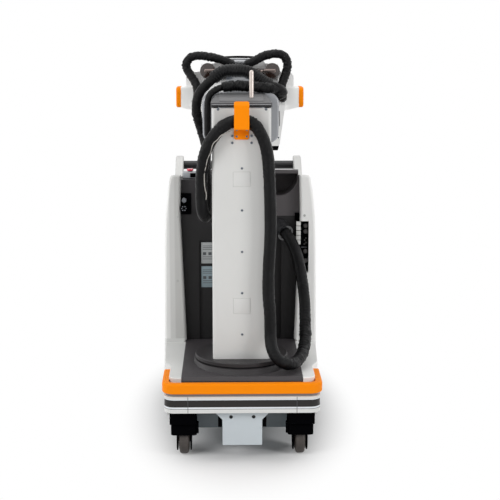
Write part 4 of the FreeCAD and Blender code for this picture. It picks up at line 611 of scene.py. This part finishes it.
def swell(share, along, around, folds, seed):
    """How far the sleeve's skin stands out of its round, in metres."""
    total = 0.0
    for centre, spread, depth, pitch in folds:
        near = math.exp(-((share - centre) / spread) ** 2)
        if near < 0.02:
            continue
        wander = noise.noise(Vector((along * 30, math.cos(around) * 1.6,
                                     math.sin(around) * 1.6 + seed)))
        phase = along / pitch + wander * 1.5
        ridge = 1 - abs(2 * (phase - math.floor(phase)) - 1)
        patch = 0.5 + noise.noise(Vector((along * 55 + seed, math.cos(around) * 2.2,
                                          math.sin(around) * 2.2)))
        total += near * depth * (ridge - 0.45) * max(0.0, min(1.4, patch * 1.5))
    slow = noise.noise(Vector((along * 14, math.cos(around), math.sin(around) + seed * 2)))
    return total + slow * 0.0011


def attach(piece, body):
    """Rides on one body when given its name; otherwise its transform is baked into the mesh."""
    if isinstance(body, str):
        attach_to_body(piece, body)
    else:
        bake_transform(piece)


def fabric_hose(name, route, radius, node, body, folds, seed):
    """A sleeved hose: a round tube on the route, its skin gathered into folds."""
    carrier = route_curve(name + "_line", route)
    points = line_points(carrier)
    run = stations(points)
    carrier.data.bevel_depth = radius
    carrier.data.bevel_resolution = 7
    carrier.data.use_fill_caps = True
    mesh = mesh_of(carrier)
    bpy.data.objects.remove(carrier)
    tree = kdtree.KDTree(len(points))
    for index, point in enumerate(points):
        tree.insert(point, index)
    tree.balance()
    total = run[-1]
    for vert in mesh.vertices:
        centre, index, gap = tree.find(vert.co)
        out = vert.co - centre
        if out.length < radius * 0.5:
            continue
        ahead = points[min(index + 1, len(points) - 1)] - points[max(index - 1, 0)]
        ahead.normalize()
        side = ahead.orthogonal() if abs(ahead.z) > 0.98 else ahead.cross(Vector((0, 0, 1)))
        side.normalize()
        up = side.cross(ahead)
        around = math.atan2(out.dot(up), out.dot(side))
        share = run[index] / total
        fade = min(1.0, run[index] / 0.02, (total - run[index]) / 0.02)
        vert.co += out.normalized() * swell(share, run[index], around, folds, seed) * fade
    mesh.name = name
    mesh.materials.clear()
    mesh.materials.append(finishes["sleeve"])
    mesh.shade_smooth()
    piece = bpy.data.objects.new(name, mesh)
    bpy.context.scene.collection.objects.link(piece)
    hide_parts(node)
    attach(piece, body)
    return points


HOSE_RADIUS = 0.022
RETURN_RADIUS = 0.018
FRONT_RADIUS = 0.012
EAR_RADIUS = 0.0165
RIBBED_RADIUS = 0.0235
GATHERED_RADIUS = 0.0185
PIPING_RADIUS = 0.0018
RIB_PITCH = 0.0105
GATHER_PITCH = 0.017

# centre of the folds along the hose (share), their spread, depth and pitch in metres
LOWER_FOLDS = [(0.30, 0.10, 0.0030, 0.019), (0.56, 0.20, 0.0052, 0.021), (0.80, 0.12, 0.0022, 0.03)]
UPPER_FOLDS = [(0.08, 0.08, 0.0018, 0.034), (0.46, 0.07, 0.0022, 0.025),
               (0.62, 0.08, 0.0042, 0.022), (0.78, 0.12, 0.0026, 0.035)]
RETURN_FOLDS = [(0.20, 0.15, 0.0018, 0.03), (0.42, 0.12, 0.0042, 0.026), (0.62, 0.1, 0.0040, 0.028),
                (0.9, 0.1, 0.002, 0.02)]
FRONT_FOLDS = [(0.45, 0.1, 0.003, 0.02), (0.72, 0.2, 0.0055, 0.022)]
EAR_FOLDS = [(0.30, 0.14, 0.0035, 0.020), (0.55, 0.2, 0.0046, 0.017), (0.85, 0.12, 0.002, 0.022)]

fabric_hose("hose_to_column", HOSE_LOWER, HOSE_RADIUS, "hose_lower",
            ("chassis", "mast", (0.189, -0.108, 0.739), (0.109, -0.541, 0.392)),
            LOWER_FOLDS, 3.1)
fabric_hose("hose_over_hook", HOSE_UPPER, HOSE_RADIUS, "hose_upper", "mast",
            UPPER_FOLDS, 7.4)
return_line = fabric_hose("hose_to_boom", HOSE_RETURN, RETURN_RADIUS, "hose_return",
                          ("mast", "lift", (-0.132, -0.340, 0.868), (-0.156, -0.177, 1.184)),
                          RETURN_FOLDS, 1.7)
front_line = fabric_hose("sleeve_over_cap", SLEEVE_FRONT, FRONT_RADIUS, "sleeve_front", "lift",
                         FRONT_FOLDS, 5.2)
fabric_hose("ear_cable_left_sleeve", EAR_LEFT, EAR_RADIUS, "ear_cable_left", "head",
            EAR_FOLDS, 9.9)
fabric_hose("ear_cable_right_sleeve", EAR_RIGHT, EAR_RADIUS, "ear_cable_right", "head",
            EAR_FOLDS, 12.3)


def sheath(name, points, radius, body, relief, finish="sleeve"):
    """Outer sleeve along part of a hose's line, its skin moved out by relief(share, around)."""
    data = bpy.data.curves.new(name, "CURVE")
    data.dimensions = "3D"
    line = data.splines.new("POLY")
    line.points.add(len(points) - 1)
    for point, place in zip(line.points, points):
        point.co = (*place, 1)
    data.bevel_depth = radius
    data.bevel_resolution = 7
    data.use_fill_caps = True
    carrier = bpy.data.objects.new(name + "_line", data)
    bpy.context.scene.collection.objects.link(carrier)
    mesh = mesh_of(carrier)
    bpy.data.objects.remove(carrier)
    tree = kdtree.KDTree(len(points))
    for index, point in enumerate(points):
        tree.insert(point, index)
    tree.balance()
    run = stations(points)
    for vert in mesh.vertices:
        centre, index, gap = tree.find(vert.co)
        out = vert.co - centre
        if out.length > radius * 0.5:
            around = math.atan2(out.y, out.z)
            vert.co += out.normalized() * relief(run[index], run[index] / run[-1], around)
    mesh.name = name
    mesh.materials.clear()
    mesh.materials.append(finishes[finish])
    mesh.shade_smooth()
    piece = bpy.data.objects.new(name, mesh)
    bpy.context.scene.collection.objects.link(piece)
    attach(piece, body)


def cut_out(points, first, last):
    """The part of a line between two shares of its length."""
    run = stations(points)
    return [point for point, along in zip(points, run)
            if first <= along / run[-1] <= last]


def ribs(along, share, around):
    ring = math.cos(2 * math.pi * along / RIB_PITCH)
    sag = noise.noise(Vector((along * 25, math.cos(around), math.sin(around))))
    edge = min(1.0, share / 0.03, (1 - share) / 0.03)
    return (0.0011 * ring + 0.0022 * sag) * edge


def gathers(along, share, around):
    wander = noise.noise(Vector((along * 40, 1.5 * math.cos(around), 1.5 * math.sin(around))))
    phase = along / GATHER_PITCH + wander * 1.8
    ridge = 1 - abs(2 * (phase - math.floor(phase)) - 1)
    return (ridge - 0.5) * 0.0065 * min(1.0, share / 0.1, (1 - share) / 0.06)


sheath("boom_hose_cover", cut_out(return_line, 0.585, 0.815), RIBBED_RADIUS, "lift",
       ribs)
sheath("cap_sleeve_cover", cut_out(front_line, 0.50, 0.93), GATHERED_RADIUS, "lift",
       gathers)

# Pale piping that wanders down the sleeve's front
PIPING = [
    (-0.0275, -0.5116, 1.1913), (-0.0395, -0.5116, 1.1874), (-0.0498, -0.5116, 1.1818),
    (-0.0703, -0.5198, 1.1749), (-0.0799, -0.5205, 1.1657), (-0.0847, -0.5183, 1.1574),
    (-0.0977, -0.5220, 1.1488), (-0.1053, -0.5199, 1.1357), (-0.1118, -0.5080, 1.1071),
    (-0.1222, -0.5049, 1.0896), (-0.1259, -0.4976, 1.0716), (-0.1310, -0.4884, 1.0463),
    (-0.1351, -0.4846, 1.0347), (-0.1336, -0.4679, 0.9772), (-0.1260, -0.4590, 0.9520),
    (-0.1294, -0.4587, 0.9342),
]
piping_line = route_curve("piping_line", PIPING)
sheath("hose_seam_piping", line_points(piping_line), PIPING_RADIUS, "mast",
       lambda along, share, around: 0.0, "piping")
bpy.data.objects.remove(piping_line)


# Column: screws and access plates

shape = bmesh.new()
FORWARD = (0, -1, 0)
for z in (1050, 897, 744, 590, 434):
    screw(shape, (1.5, COLUMN_FACE, z), FORWARD, 4.6)
for x, z in ((-84, 1262), (88, 1262), (-33, 1167), (36, 1167), (-33, 1142), (36, 1142)):
    screw(shape, (x, COLUMN_FACE, z), FORWARD, 5.0)
for x, z in ((-17, 1189), (19, 1189), (-17, 1165), (19, 1165)):
    screw(shape, (x, COLUMN_FACE - 4, z), FORWARD, 4.2)
finished("column_screws", "mast", shape, ["screw", "hole"])

for name, low, high in (("column_plate_upper", 984, 1037), ("column_plate_lower", 513, 570)):
    shape = bmesh.new()
    block(shape, (-30, COLUMN_FACE - 1.4, low), (31, COLUMN_FACE + 0.5, high), soft=0.4)
    finished(name, "mast", shape, "mast")
    shape = bmesh.new()
    block(shape, (-30.7, COLUMN_FACE - 0.5, low - 0.7),
          (31.7, COLUMN_FACE + 0.15, high + 0.7), soft=0.2)
    finished(name + "_gap", "mast", shape, "seam_pale")
    shape = bmesh.new()
    for x in (-23, 24):
        for z in (low + 6, high - 4):
            screw(shape, (x, COLUMN_FACE + 0.5, z), FORWARD, 2.6, height=0.9)
    finished(name + "_screws", "mast", shape, ["screw", "hole"])

# Cap

shape = bmesh.new()
slab(shape, [(182, 1288.8), (227, 1299.4), (368, 1307.0), (368, 1309.2), (228, 1301.7),
             (182, 1291.2)], "yz", -80, 80, soft=0.8)
finished("cap_top_plate", "lift", shape, "cap_plate")
shape = bmesh.new()
block(shape, (-106, 161.9, 1271.5), (106, 164, 1277.5), soft=0.6)
finished("cap_front_strip", "lift", shape, "recess")
shape = bmesh.new()
block(shape, (-106, 161.6, 1277.8), (106, 164, 1279.0), soft=0.3)
finished("cap_front_line", "lift", shape, "silver")

# Tube head

shape = bmesh.new()
block(shape, (-66, 651, 1412), (70, HEAD_FACE, 1427), soft=2.0)
finished("visor_band", "head", shape, "silver")
shape = bmesh.new()
block(shape, (-60, 650.5, 1408), (64, HEAD_FACE, 1412), soft=1.0, index=0)
block(shape, (-68, 649.5, 1427), (72, HEAD_FACE, 1431.5), soft=1.5, index=1)
finished("visor_lines", "head", shape, ["visor", "grey"])
shape = bmesh.new()
block(shape, (-76, 649, 1340), (-64, HEAD_FACE, 1354), soft=1.5)
finished("head_bracket", "head", shape, "silver")
shape = bmesh.new()
for x in (-154, 152):
    screw(shape, (x, 605, 1123), FORWARD, 3.4)
finished("shroud_screws", "head", shape, ["screw", "hole"])
shape = bmesh.new()
for x in (-157, 154):
    block(shape, (x, 604.4, 1169), (x + 3, 606, 1228), soft=0.3)
finished("shroud_slots", "head", shape, "seam")
shape = bmesh.new()
for side in (-1, 1):
    x = SOCKET_X * side
    rod(shape, (x, 590.5, SOCKET_Z), (x, 597, SOCKET_Z), 30.2, soft=2.0)
    rod(shape, (x, 589.4, SOCKET_Z), (x, 591, SOCKET_Z), 22.0, soft=0.6)
finished("socket_rims", "head", shape, "socket")
shape = bmesh.new()
for side in (-1, 1):
    rod(shape, (side * 140, 594, 1384), (side * 92, 594, 1384), 9.5, soft=3.0)
    rod(shape, (side * 92, 594, 1384), (side * 82, 598, 1384), 5.5, soft=1.0)
finished("socket_stubs", "head", shape, "stub")
shape = bmesh.new()
for x in (-150, -105, 105, 150):
    block(shape, (x - 1, 654.6, 1330), (x + 1, 655.4, 1410), soft=0.2)
finished("cover_ribs", "head", shape, "head_white")

# Display at the back of the head

shape = bmesh.new()
slab(shape, [(-84, 8), (84, 8), (84, 74), (-84, 74)], "xz", 14.0, 14.8, soft=0.3)
turn = Matrix.Translation((0, 756.2, 1353)) @ Matrix.Rotation(math.radians(8), 4, "X")
bmesh.ops.transform(shape, matrix=turn, verts=shape.verts)
finished("tube_display_glass", "head", shape, "glass")


# Bumper band

def band_edge(inset, end):
    """Points round the band's face, from the left arm's end to the right's."""
    half = 283.0 - inset
    front = 7.0 + inset
    corner = 39.0 - inset
    right = []
    for step in range(13):
        angle = math.radians(90 * step / 12)
        right.append((half - corner + corner * math.sin(angle),
                      front + corner - corner * math.cos(angle)))
    right.append((half, end))
    return [(-x, y) for x, y in reversed(right)] + right


def ribbon(shape, inset, end, low, high):
    outline = band_edge(inset, end)
    rows = [[shape.verts.new((x, y, z)) for x, y in outline] for z in (low, high)]
    for index in range(len(outline) - 1):
        shape.faces.new((rows[0][index], rows[0][index + 1], rows[1][index + 1],
                         rows[1][index]))


# The white lip under the bumper, drawn grey: painted shade
shape = bmesh.new()
ribbon(shape, 5.7, 199, 243.2, 253.8)
finished("bumper_gap_painted_shade", "chassis", shape, "gap")
shape = bmesh.new()
ribbon(shape, -0.25, 559, 197.2, 198.6)
finished("band_line", "chassis", shape, "seam")
shape = bmesh.new()
for x in (-197, 196):
    block(shape, (x, 6.5, 182.2), (x + 1.8, 9.0, 242.8), soft=0.2)
finished("band_joints", "chassis", shape, "seam")
# Pale lines along both edges of the dark strip: painted highlight
shape = bmesh.new()
ribbon(shape, -0.3, 559, 231.3, 234.0)
ribbon(shape, -0.3, 559, 199.2, 204.6)
finished("band_edge_highlights", "chassis", shape, "edge_pale")

# Casters

for side, sign in (("left", -1), ("right", 1)):
    shape = bmesh.new()
    inner, outer = sorted((sign * 159, sign * 168))
    block(shape, (inner, 44, 94), (outer, 66, 136), soft=2.0)
    hub = sign * CASTER_X
    block(shape, (hub - 42, 40.8, 91), (hub + 42, 43, 122), soft=1.0)
    for toward in (-1, 1):
        rod(shape, (hub + toward * 22.4, *CASTER_AXLE), (hub + toward * 27.4, *CASTER_AXLE), 46,
            soft=1.5)
    finished("caster_trim_" + side, side + "_caster", shape, "caster")

# Fenders: screws

shape = bmesh.new()
# their sockets in the pale seam grey: painted shade
for x, z in ((-248, 814), (-251, 555), (255, 818)):
    screw(shape, (x, 560, z), FORWARD, 5.2, height=1.0)
finished("fender_screws", "chassis", shape, ["screw_pale", "seam_pale"])

# Switch panel at the right

shape = bmesh.new()
for step in range(5):
    low = 700 + step * 19
    block(shape, (222.6, 568.8, low - 0.3), (240.4, 579.6, low + 16.3), soft=1.2)
finished("breaker_toggles", "chassis", shape, "toggle")
shape = bmesh.new()
for z in (775, 752, 672, 634):
    rod(shape, (260, 569.5, z), (260, 579.8, z), 9.3, soft=2.5)
for x, z in ((257, 716), (263, 706), (256, 700), (262, 724)):
    rod(shape, (x, 575, z), (x, 579.8, z), 3.4, soft=0.8)
finished("breaker_knobs", "chassis", shape, "dark_knob")
shape = bmesh.new()
block(shape, (244, 577.5, 686), (268, 579.8, 688.6), soft=0.6)
finished("breaker_rule", "chassis", shape, "knob")
shape = bmesh.new()
block(shape, (218, 592, 794), (238, 599.6, 824), soft=1.5)
finished("breaker_tab", "chassis", shape, "panel")

# Connector at the left

shape = bmesh.new()
rod(shape, (CONNECTOR_X, 573.5, 877), (CONNECTOR_X, 594, 877), 9.5, soft=2.0)
finished("connector_knob", "chassis", shape, "knob")
shape = bmesh.new()
rod(shape, (CONNECTOR_X, 556.5, 848), (CONNECTOR_X, 594, 848), 14.6, soft=2.0)
for step in range(6):
    angle = math.radians(60 * step)
    x = CONNECTOR_X + 8.5 * math.cos(angle)
    z = 848 + 8.5 * math.sin(angle)
    rod(shape, (x, 554.8, z), (x, 557, z), 2.3, index=1, sides=12)
finished("connector_plug", "chassis", shape, ["panel", "knob"])

# Emergency stop

shape = bmesh.new()
block(shape, (-229, 646, 957), (-172, 698, 982), soft=3.0)
finished("stop_block", "chassis", shape, "grey", replaces=["emergency_stop"])
shape = bmesh.new()
block(shape, (-200, 645.2, 960), (-174, 650, 978), soft=2.0)
rod(shape, (STOP_X, STOP_Y, 981), (STOP_X, STOP_Y, 986), 9, soft=0.5)
finished("stop_inset", "chassis", shape, "panel")
shape = bmesh.new()
rod(shape, (STOP_X, STOP_Y, 985), (STOP_X, STOP_Y, 993), 13.5, soft=2.5)
finished("stop_head", "chassis", shape, "red")

# Labels, left blank

LABELS = [
    # name, bottom, top, finish, node that the pair stands for
    ("label_upper", 616, 702, "plate_pale", ["label_plates"]),
    ("label_lower", 518, 604, "plate", []),
]
LABEL_ROWS = (0.82, 0.74, 0.66, 0.30, 0.20)
for name, low, high, finish, stands_for in LABELS:
    shape = bmesh.new()
    block(shape, (-157, 612, low), (-60, 614, high), soft=0.4, index=0)
    for row in LABEL_ROWS:
        z = low + (high - low) * row
        block(shape, (-151, 611.8, z), (-98, 612.3, z + 2.2), index=1)
    for x in (-150, -128, -90):
        block(shape, (x, 611.8, low + 34), (x + 13, 612.3, low + 46), index=1)
    finished(name, "chassis", shape, [finish, "field"], replaces=stands_for)

# Console

RIM_Y = 612
RIM_TOP = 996
DECK_FALL = 71 / 428


def console_height(y):
    """Height of the console's sloping deck at a place along the cart."""
    return RIM_TOP - DECK_FALL * (y - RIM_Y)


shape = bmesh.new()
front, back = 822, 985
front_top, back_top = console_height(front) + 9.3, console_height(back) + 9.3
slab(shape, [(front, front_top), (back, back_top), (back, back_top + 0.8),
             (front, front_top + 0.8)], "yz", -150, 150, soft=0.2)
finished("console_screen", "chassis", shape, "glass")
shape = bmesh.new()
key_y = 1000
key_foot = console_height(key_y) + 8.8
for x in (-60, -30, 0, 30, 60):
    rod(shape, (x, key_y, key_foot), (x, key_y + 0.2, key_foot + 2.0), 5, soft=0.8, sides=24)
finished("console_keys", "chassis", shape, "knob")

# Bin dividers

shape = bmesh.new()
for y in (1074, 1098, 1122):
    block(shape, (-196, y - 1.5, 664), (196, y + 1.5, 900), soft=0.8)
finished("bin_dividers", "chassis", shape, "frame")

# Rear

shape = bmesh.new()
for step in range(12):
    z = 300 + step * 14
    block(shape, (-120, 1176.4, z), (120, 1178.2, z + 6), soft=0.8)
finished("rear_vents", "chassis", shape, "recess")
shape = bmesh.new()
for x in (-200, 200):
    for z in (262, 560, 896):
        screw(shape, (x, BACK_FACE, z), (0, 1, 0), 5.0)
finished("rear_screws", "chassis", shape, ["screw", "hole"])
shape = bmesh.new()
block(shape, (-60, 1175, 700), (60, 1180, 790), soft=3.0)
block(shape, (90, 1175, 500), (150, 1179.5, 560), soft=3.0)
finished("rear_hatch", "chassis", shape, "grey")
shape = bmesh.new()
block(shape, (-22, 1179, 738), (22, 1186, 752), soft=2.0)
rod(shape, (120, 1178, 530), (120, 1184, 530), 17, soft=1.5)
finished("rear_latch_and_inlet", "chassis", shape, "panel")

# Drive wheels: tread blocks and hub bolts

for side, sign in (("left", -1), ("right", 1)):
    shape = bmesh.new()
    for step in range(48):
        angle = 2 * math.pi * step / 48
        turn = (Matrix.Translation((sign * DRIVE_X, DRIVE_Y, DRIVE_Z)) @ Matrix.Rotation(angle, 4, "X")
                @ Matrix.Translation((0, 0, 149.4)))
        for low, high in ((-18, -1.5), (1.5, 18)):
            verts = bmesh.ops.create_cube(shape, size=1.0, matrix=turn @ Matrix.Translation(
                ((low + high) / 2, 2 if low > 0 else -2, 0)) @ Matrix.Diagonal(
                (high - low, 12, 1.1, 1)))["verts"]
            paint(verts, 0)
    finished("drive_tread_" + side, side + "_drive", shape, "tyre")
    shape = bmesh.new()
    for step in range(6):
        angle = math.radians(60 * step)
        y = DRIVE_Y + 62 * math.cos(angle)
        z = DRIVE_Z + 62 * math.sin(angle)
        screw(shape, (sign * 272, y, z), (sign, 0, 0), 6.5, height=3.0)
    rod(shape, (sign * 276, DRIVE_Y, DRIVE_Z), (sign * 281.5, DRIVE_Y, DRIVE_Z), 27, soft=2.0, index=1)
    finished("drive_hub_" + side, side + "_drive", shape, ["screw", "knob"])

# Brackets beside the front plate

shape = bmesh.new()
for side in (-1, 1):
    inner, outer = sorted((74 * side, 88 * side))
    block(shape, (inner, 44, 118), (outer, 58, 162), soft=2.0)
finished("plate_brackets", "chassis", shape, "panel")

# Front plate: dark discs behind its two holes, painted shade in the holes

shape = bmesh.new()
for side in (-1, 1):
    x = 41 * side
    rod(shape, (x, 38.5, 160), (x, 37, 160), 7.2, sides=24)
finished("plate_hole_painted_shade", "chassis", shape, "hole")

# Camera, light and floor

camera_data = bpy.data.cameras.new("camera")
camera_data.lens = 86.4
camera_data.sensor_width = 36.0
camera = bpy.data.objects.new("camera", camera_data)
camera.location = (-0.056, -4.787, 1.531)
camera.rotation_euler = (math.radians(90 - 10.26), 0, math.radians(-1.15))
bpy.context.scene.collection.objects.link(camera)
bpy.context.scene.camera = camera


def lamp(name, place, aim, size, power):
    data = bpy.data.lights.new(name, "AREA")
    data.shape = "RECTANGLE"
    data.size, data.size_y = size
    data.energy = power
    light = bpy.data.objects.new(name, data)
    light.location = place
    light.rotation_euler = (Vector(aim) - Vector(place)).to_track_quat("-Z", "Y").to_euler()
    bpy.context.scene.collection.objects.link(light)


lamp("key", (-3.0, -3.1, 2.8), (0, -0.2, 0.75), (2.4, 2.4), 92)
lamp("side", (-3.0, 0.2, 1.3), (0, -0.1, 0.8), (1.2, 2.2), 17)
lamp("softbox", (3.6, -2.9, 2.0), (0, -0.1, 0.8), (1.4, 2.2), 78)
lamp("top", (0.0, 0.2, 3.4), (0, -0.1, 0.6), (2.6, 2.6), 36)
lamp("rim", (2.6, 2.2, 1.8), (0, 0, 0.8), (1.2, 2.2), 10)

world = bpy.data.worlds.new("studio")
bpy.context.scene.world = world
world.use_nodes = True
sky = world.node_tree
sky.nodes.clear()
path = sky.nodes.new("ShaderNodeLightPath")
seen = sky.nodes.new("ShaderNodeMath")
seen.operation = "MAXIMUM"
sky.links.new(path.outputs["Is Camera Ray"], seen.inputs[0])
mirror_ray = sky.nodes.new("ShaderNodeMath")
mirror_ray.operation = "MAXIMUM"
sky.links.new(path.outputs["Is Glossy Ray"], mirror_ray.inputs[0])
sky.links.new(path.outputs["Is Transmission Ray"], mirror_ray.inputs[1])
sky.links.new(mirror_ray.outputs[0], seen.inputs[1])
level = sky.nodes.new("ShaderNodeMapRange")
level.inputs["To Min"].default_value = 0.30
level.inputs["To Max"].default_value = 1.0
sky.links.new(seen.outputs[0], level.inputs["Value"])
glow = sky.nodes.new("ShaderNodeBackground")
glow.inputs["Color"].default_value = (1, 1, 1, 1)
sky.links.new(level.outputs[0], glow.inputs["Strength"])
out = sky.nodes.new("ShaderNodeOutputWorld")
sky.links.new(glow.outputs[0], out.inputs["Surface"])

ground = Finish("floor_paper")
where = ground.place((1 / 0.43, 1 / 0.95, 1))
spread = ground.add("ShaderNodeVectorMath", {"operation": "LENGTH"}, {0: where}, output=1)
far = ground.add("ShaderNodeMapRange", {"interpolation_type": "SMOOTHSTEP"},
                 {"Value": spread, "From Min": 0.62, "From Max": 1.15})
ray = ground.add("ShaderNodeLightPath", output="Is Camera Ray")
shine = ground.add("ShaderNodeLightPath", output="Is Glossy Ray")
through = ground.add("ShaderNodeLightPath", output="Is Transmission Ray")
visible = ray.maths("MAXIMUM", ray, shine.maths("MAXIMUM", shine, through))
fibre = ground.grain(90.0, 3.0)
paper_tone = ground.blend(fibre, (0.86, 0.86, 0.86), (0.90, 0.90, 0.90))
paper = ground.add("ShaderNodeBsdfDiffuse", {}, {"Color": paper_tone})
white = ground.add("ShaderNodeEmission", {}, {"Color": (1, 1, 1, 1), "Strength": 1.0})
surface = ground.add("ShaderNodeMixShader", {}, {0: far * visible, 1: paper, 2: white})
ground.add("ShaderNodeOutputMaterial", {}, {"Surface": surface})
finishes["floor"] = ground.material

shape = bmesh.new()
bmesh.ops.create_grid(shape, x_segments=1, y_segments=1, size=12.0)
mesh = bpy.data.meshes.new("floor")
shape.to_mesh(mesh)
shape.free()
mesh.materials.append(finishes["floor"])
floor = bpy.data.objects.new("floor", mesh)
bpy.context.scene.collection.objects.link(floor)

bpy.context.scene.view_settings.view_transform = "Standard"
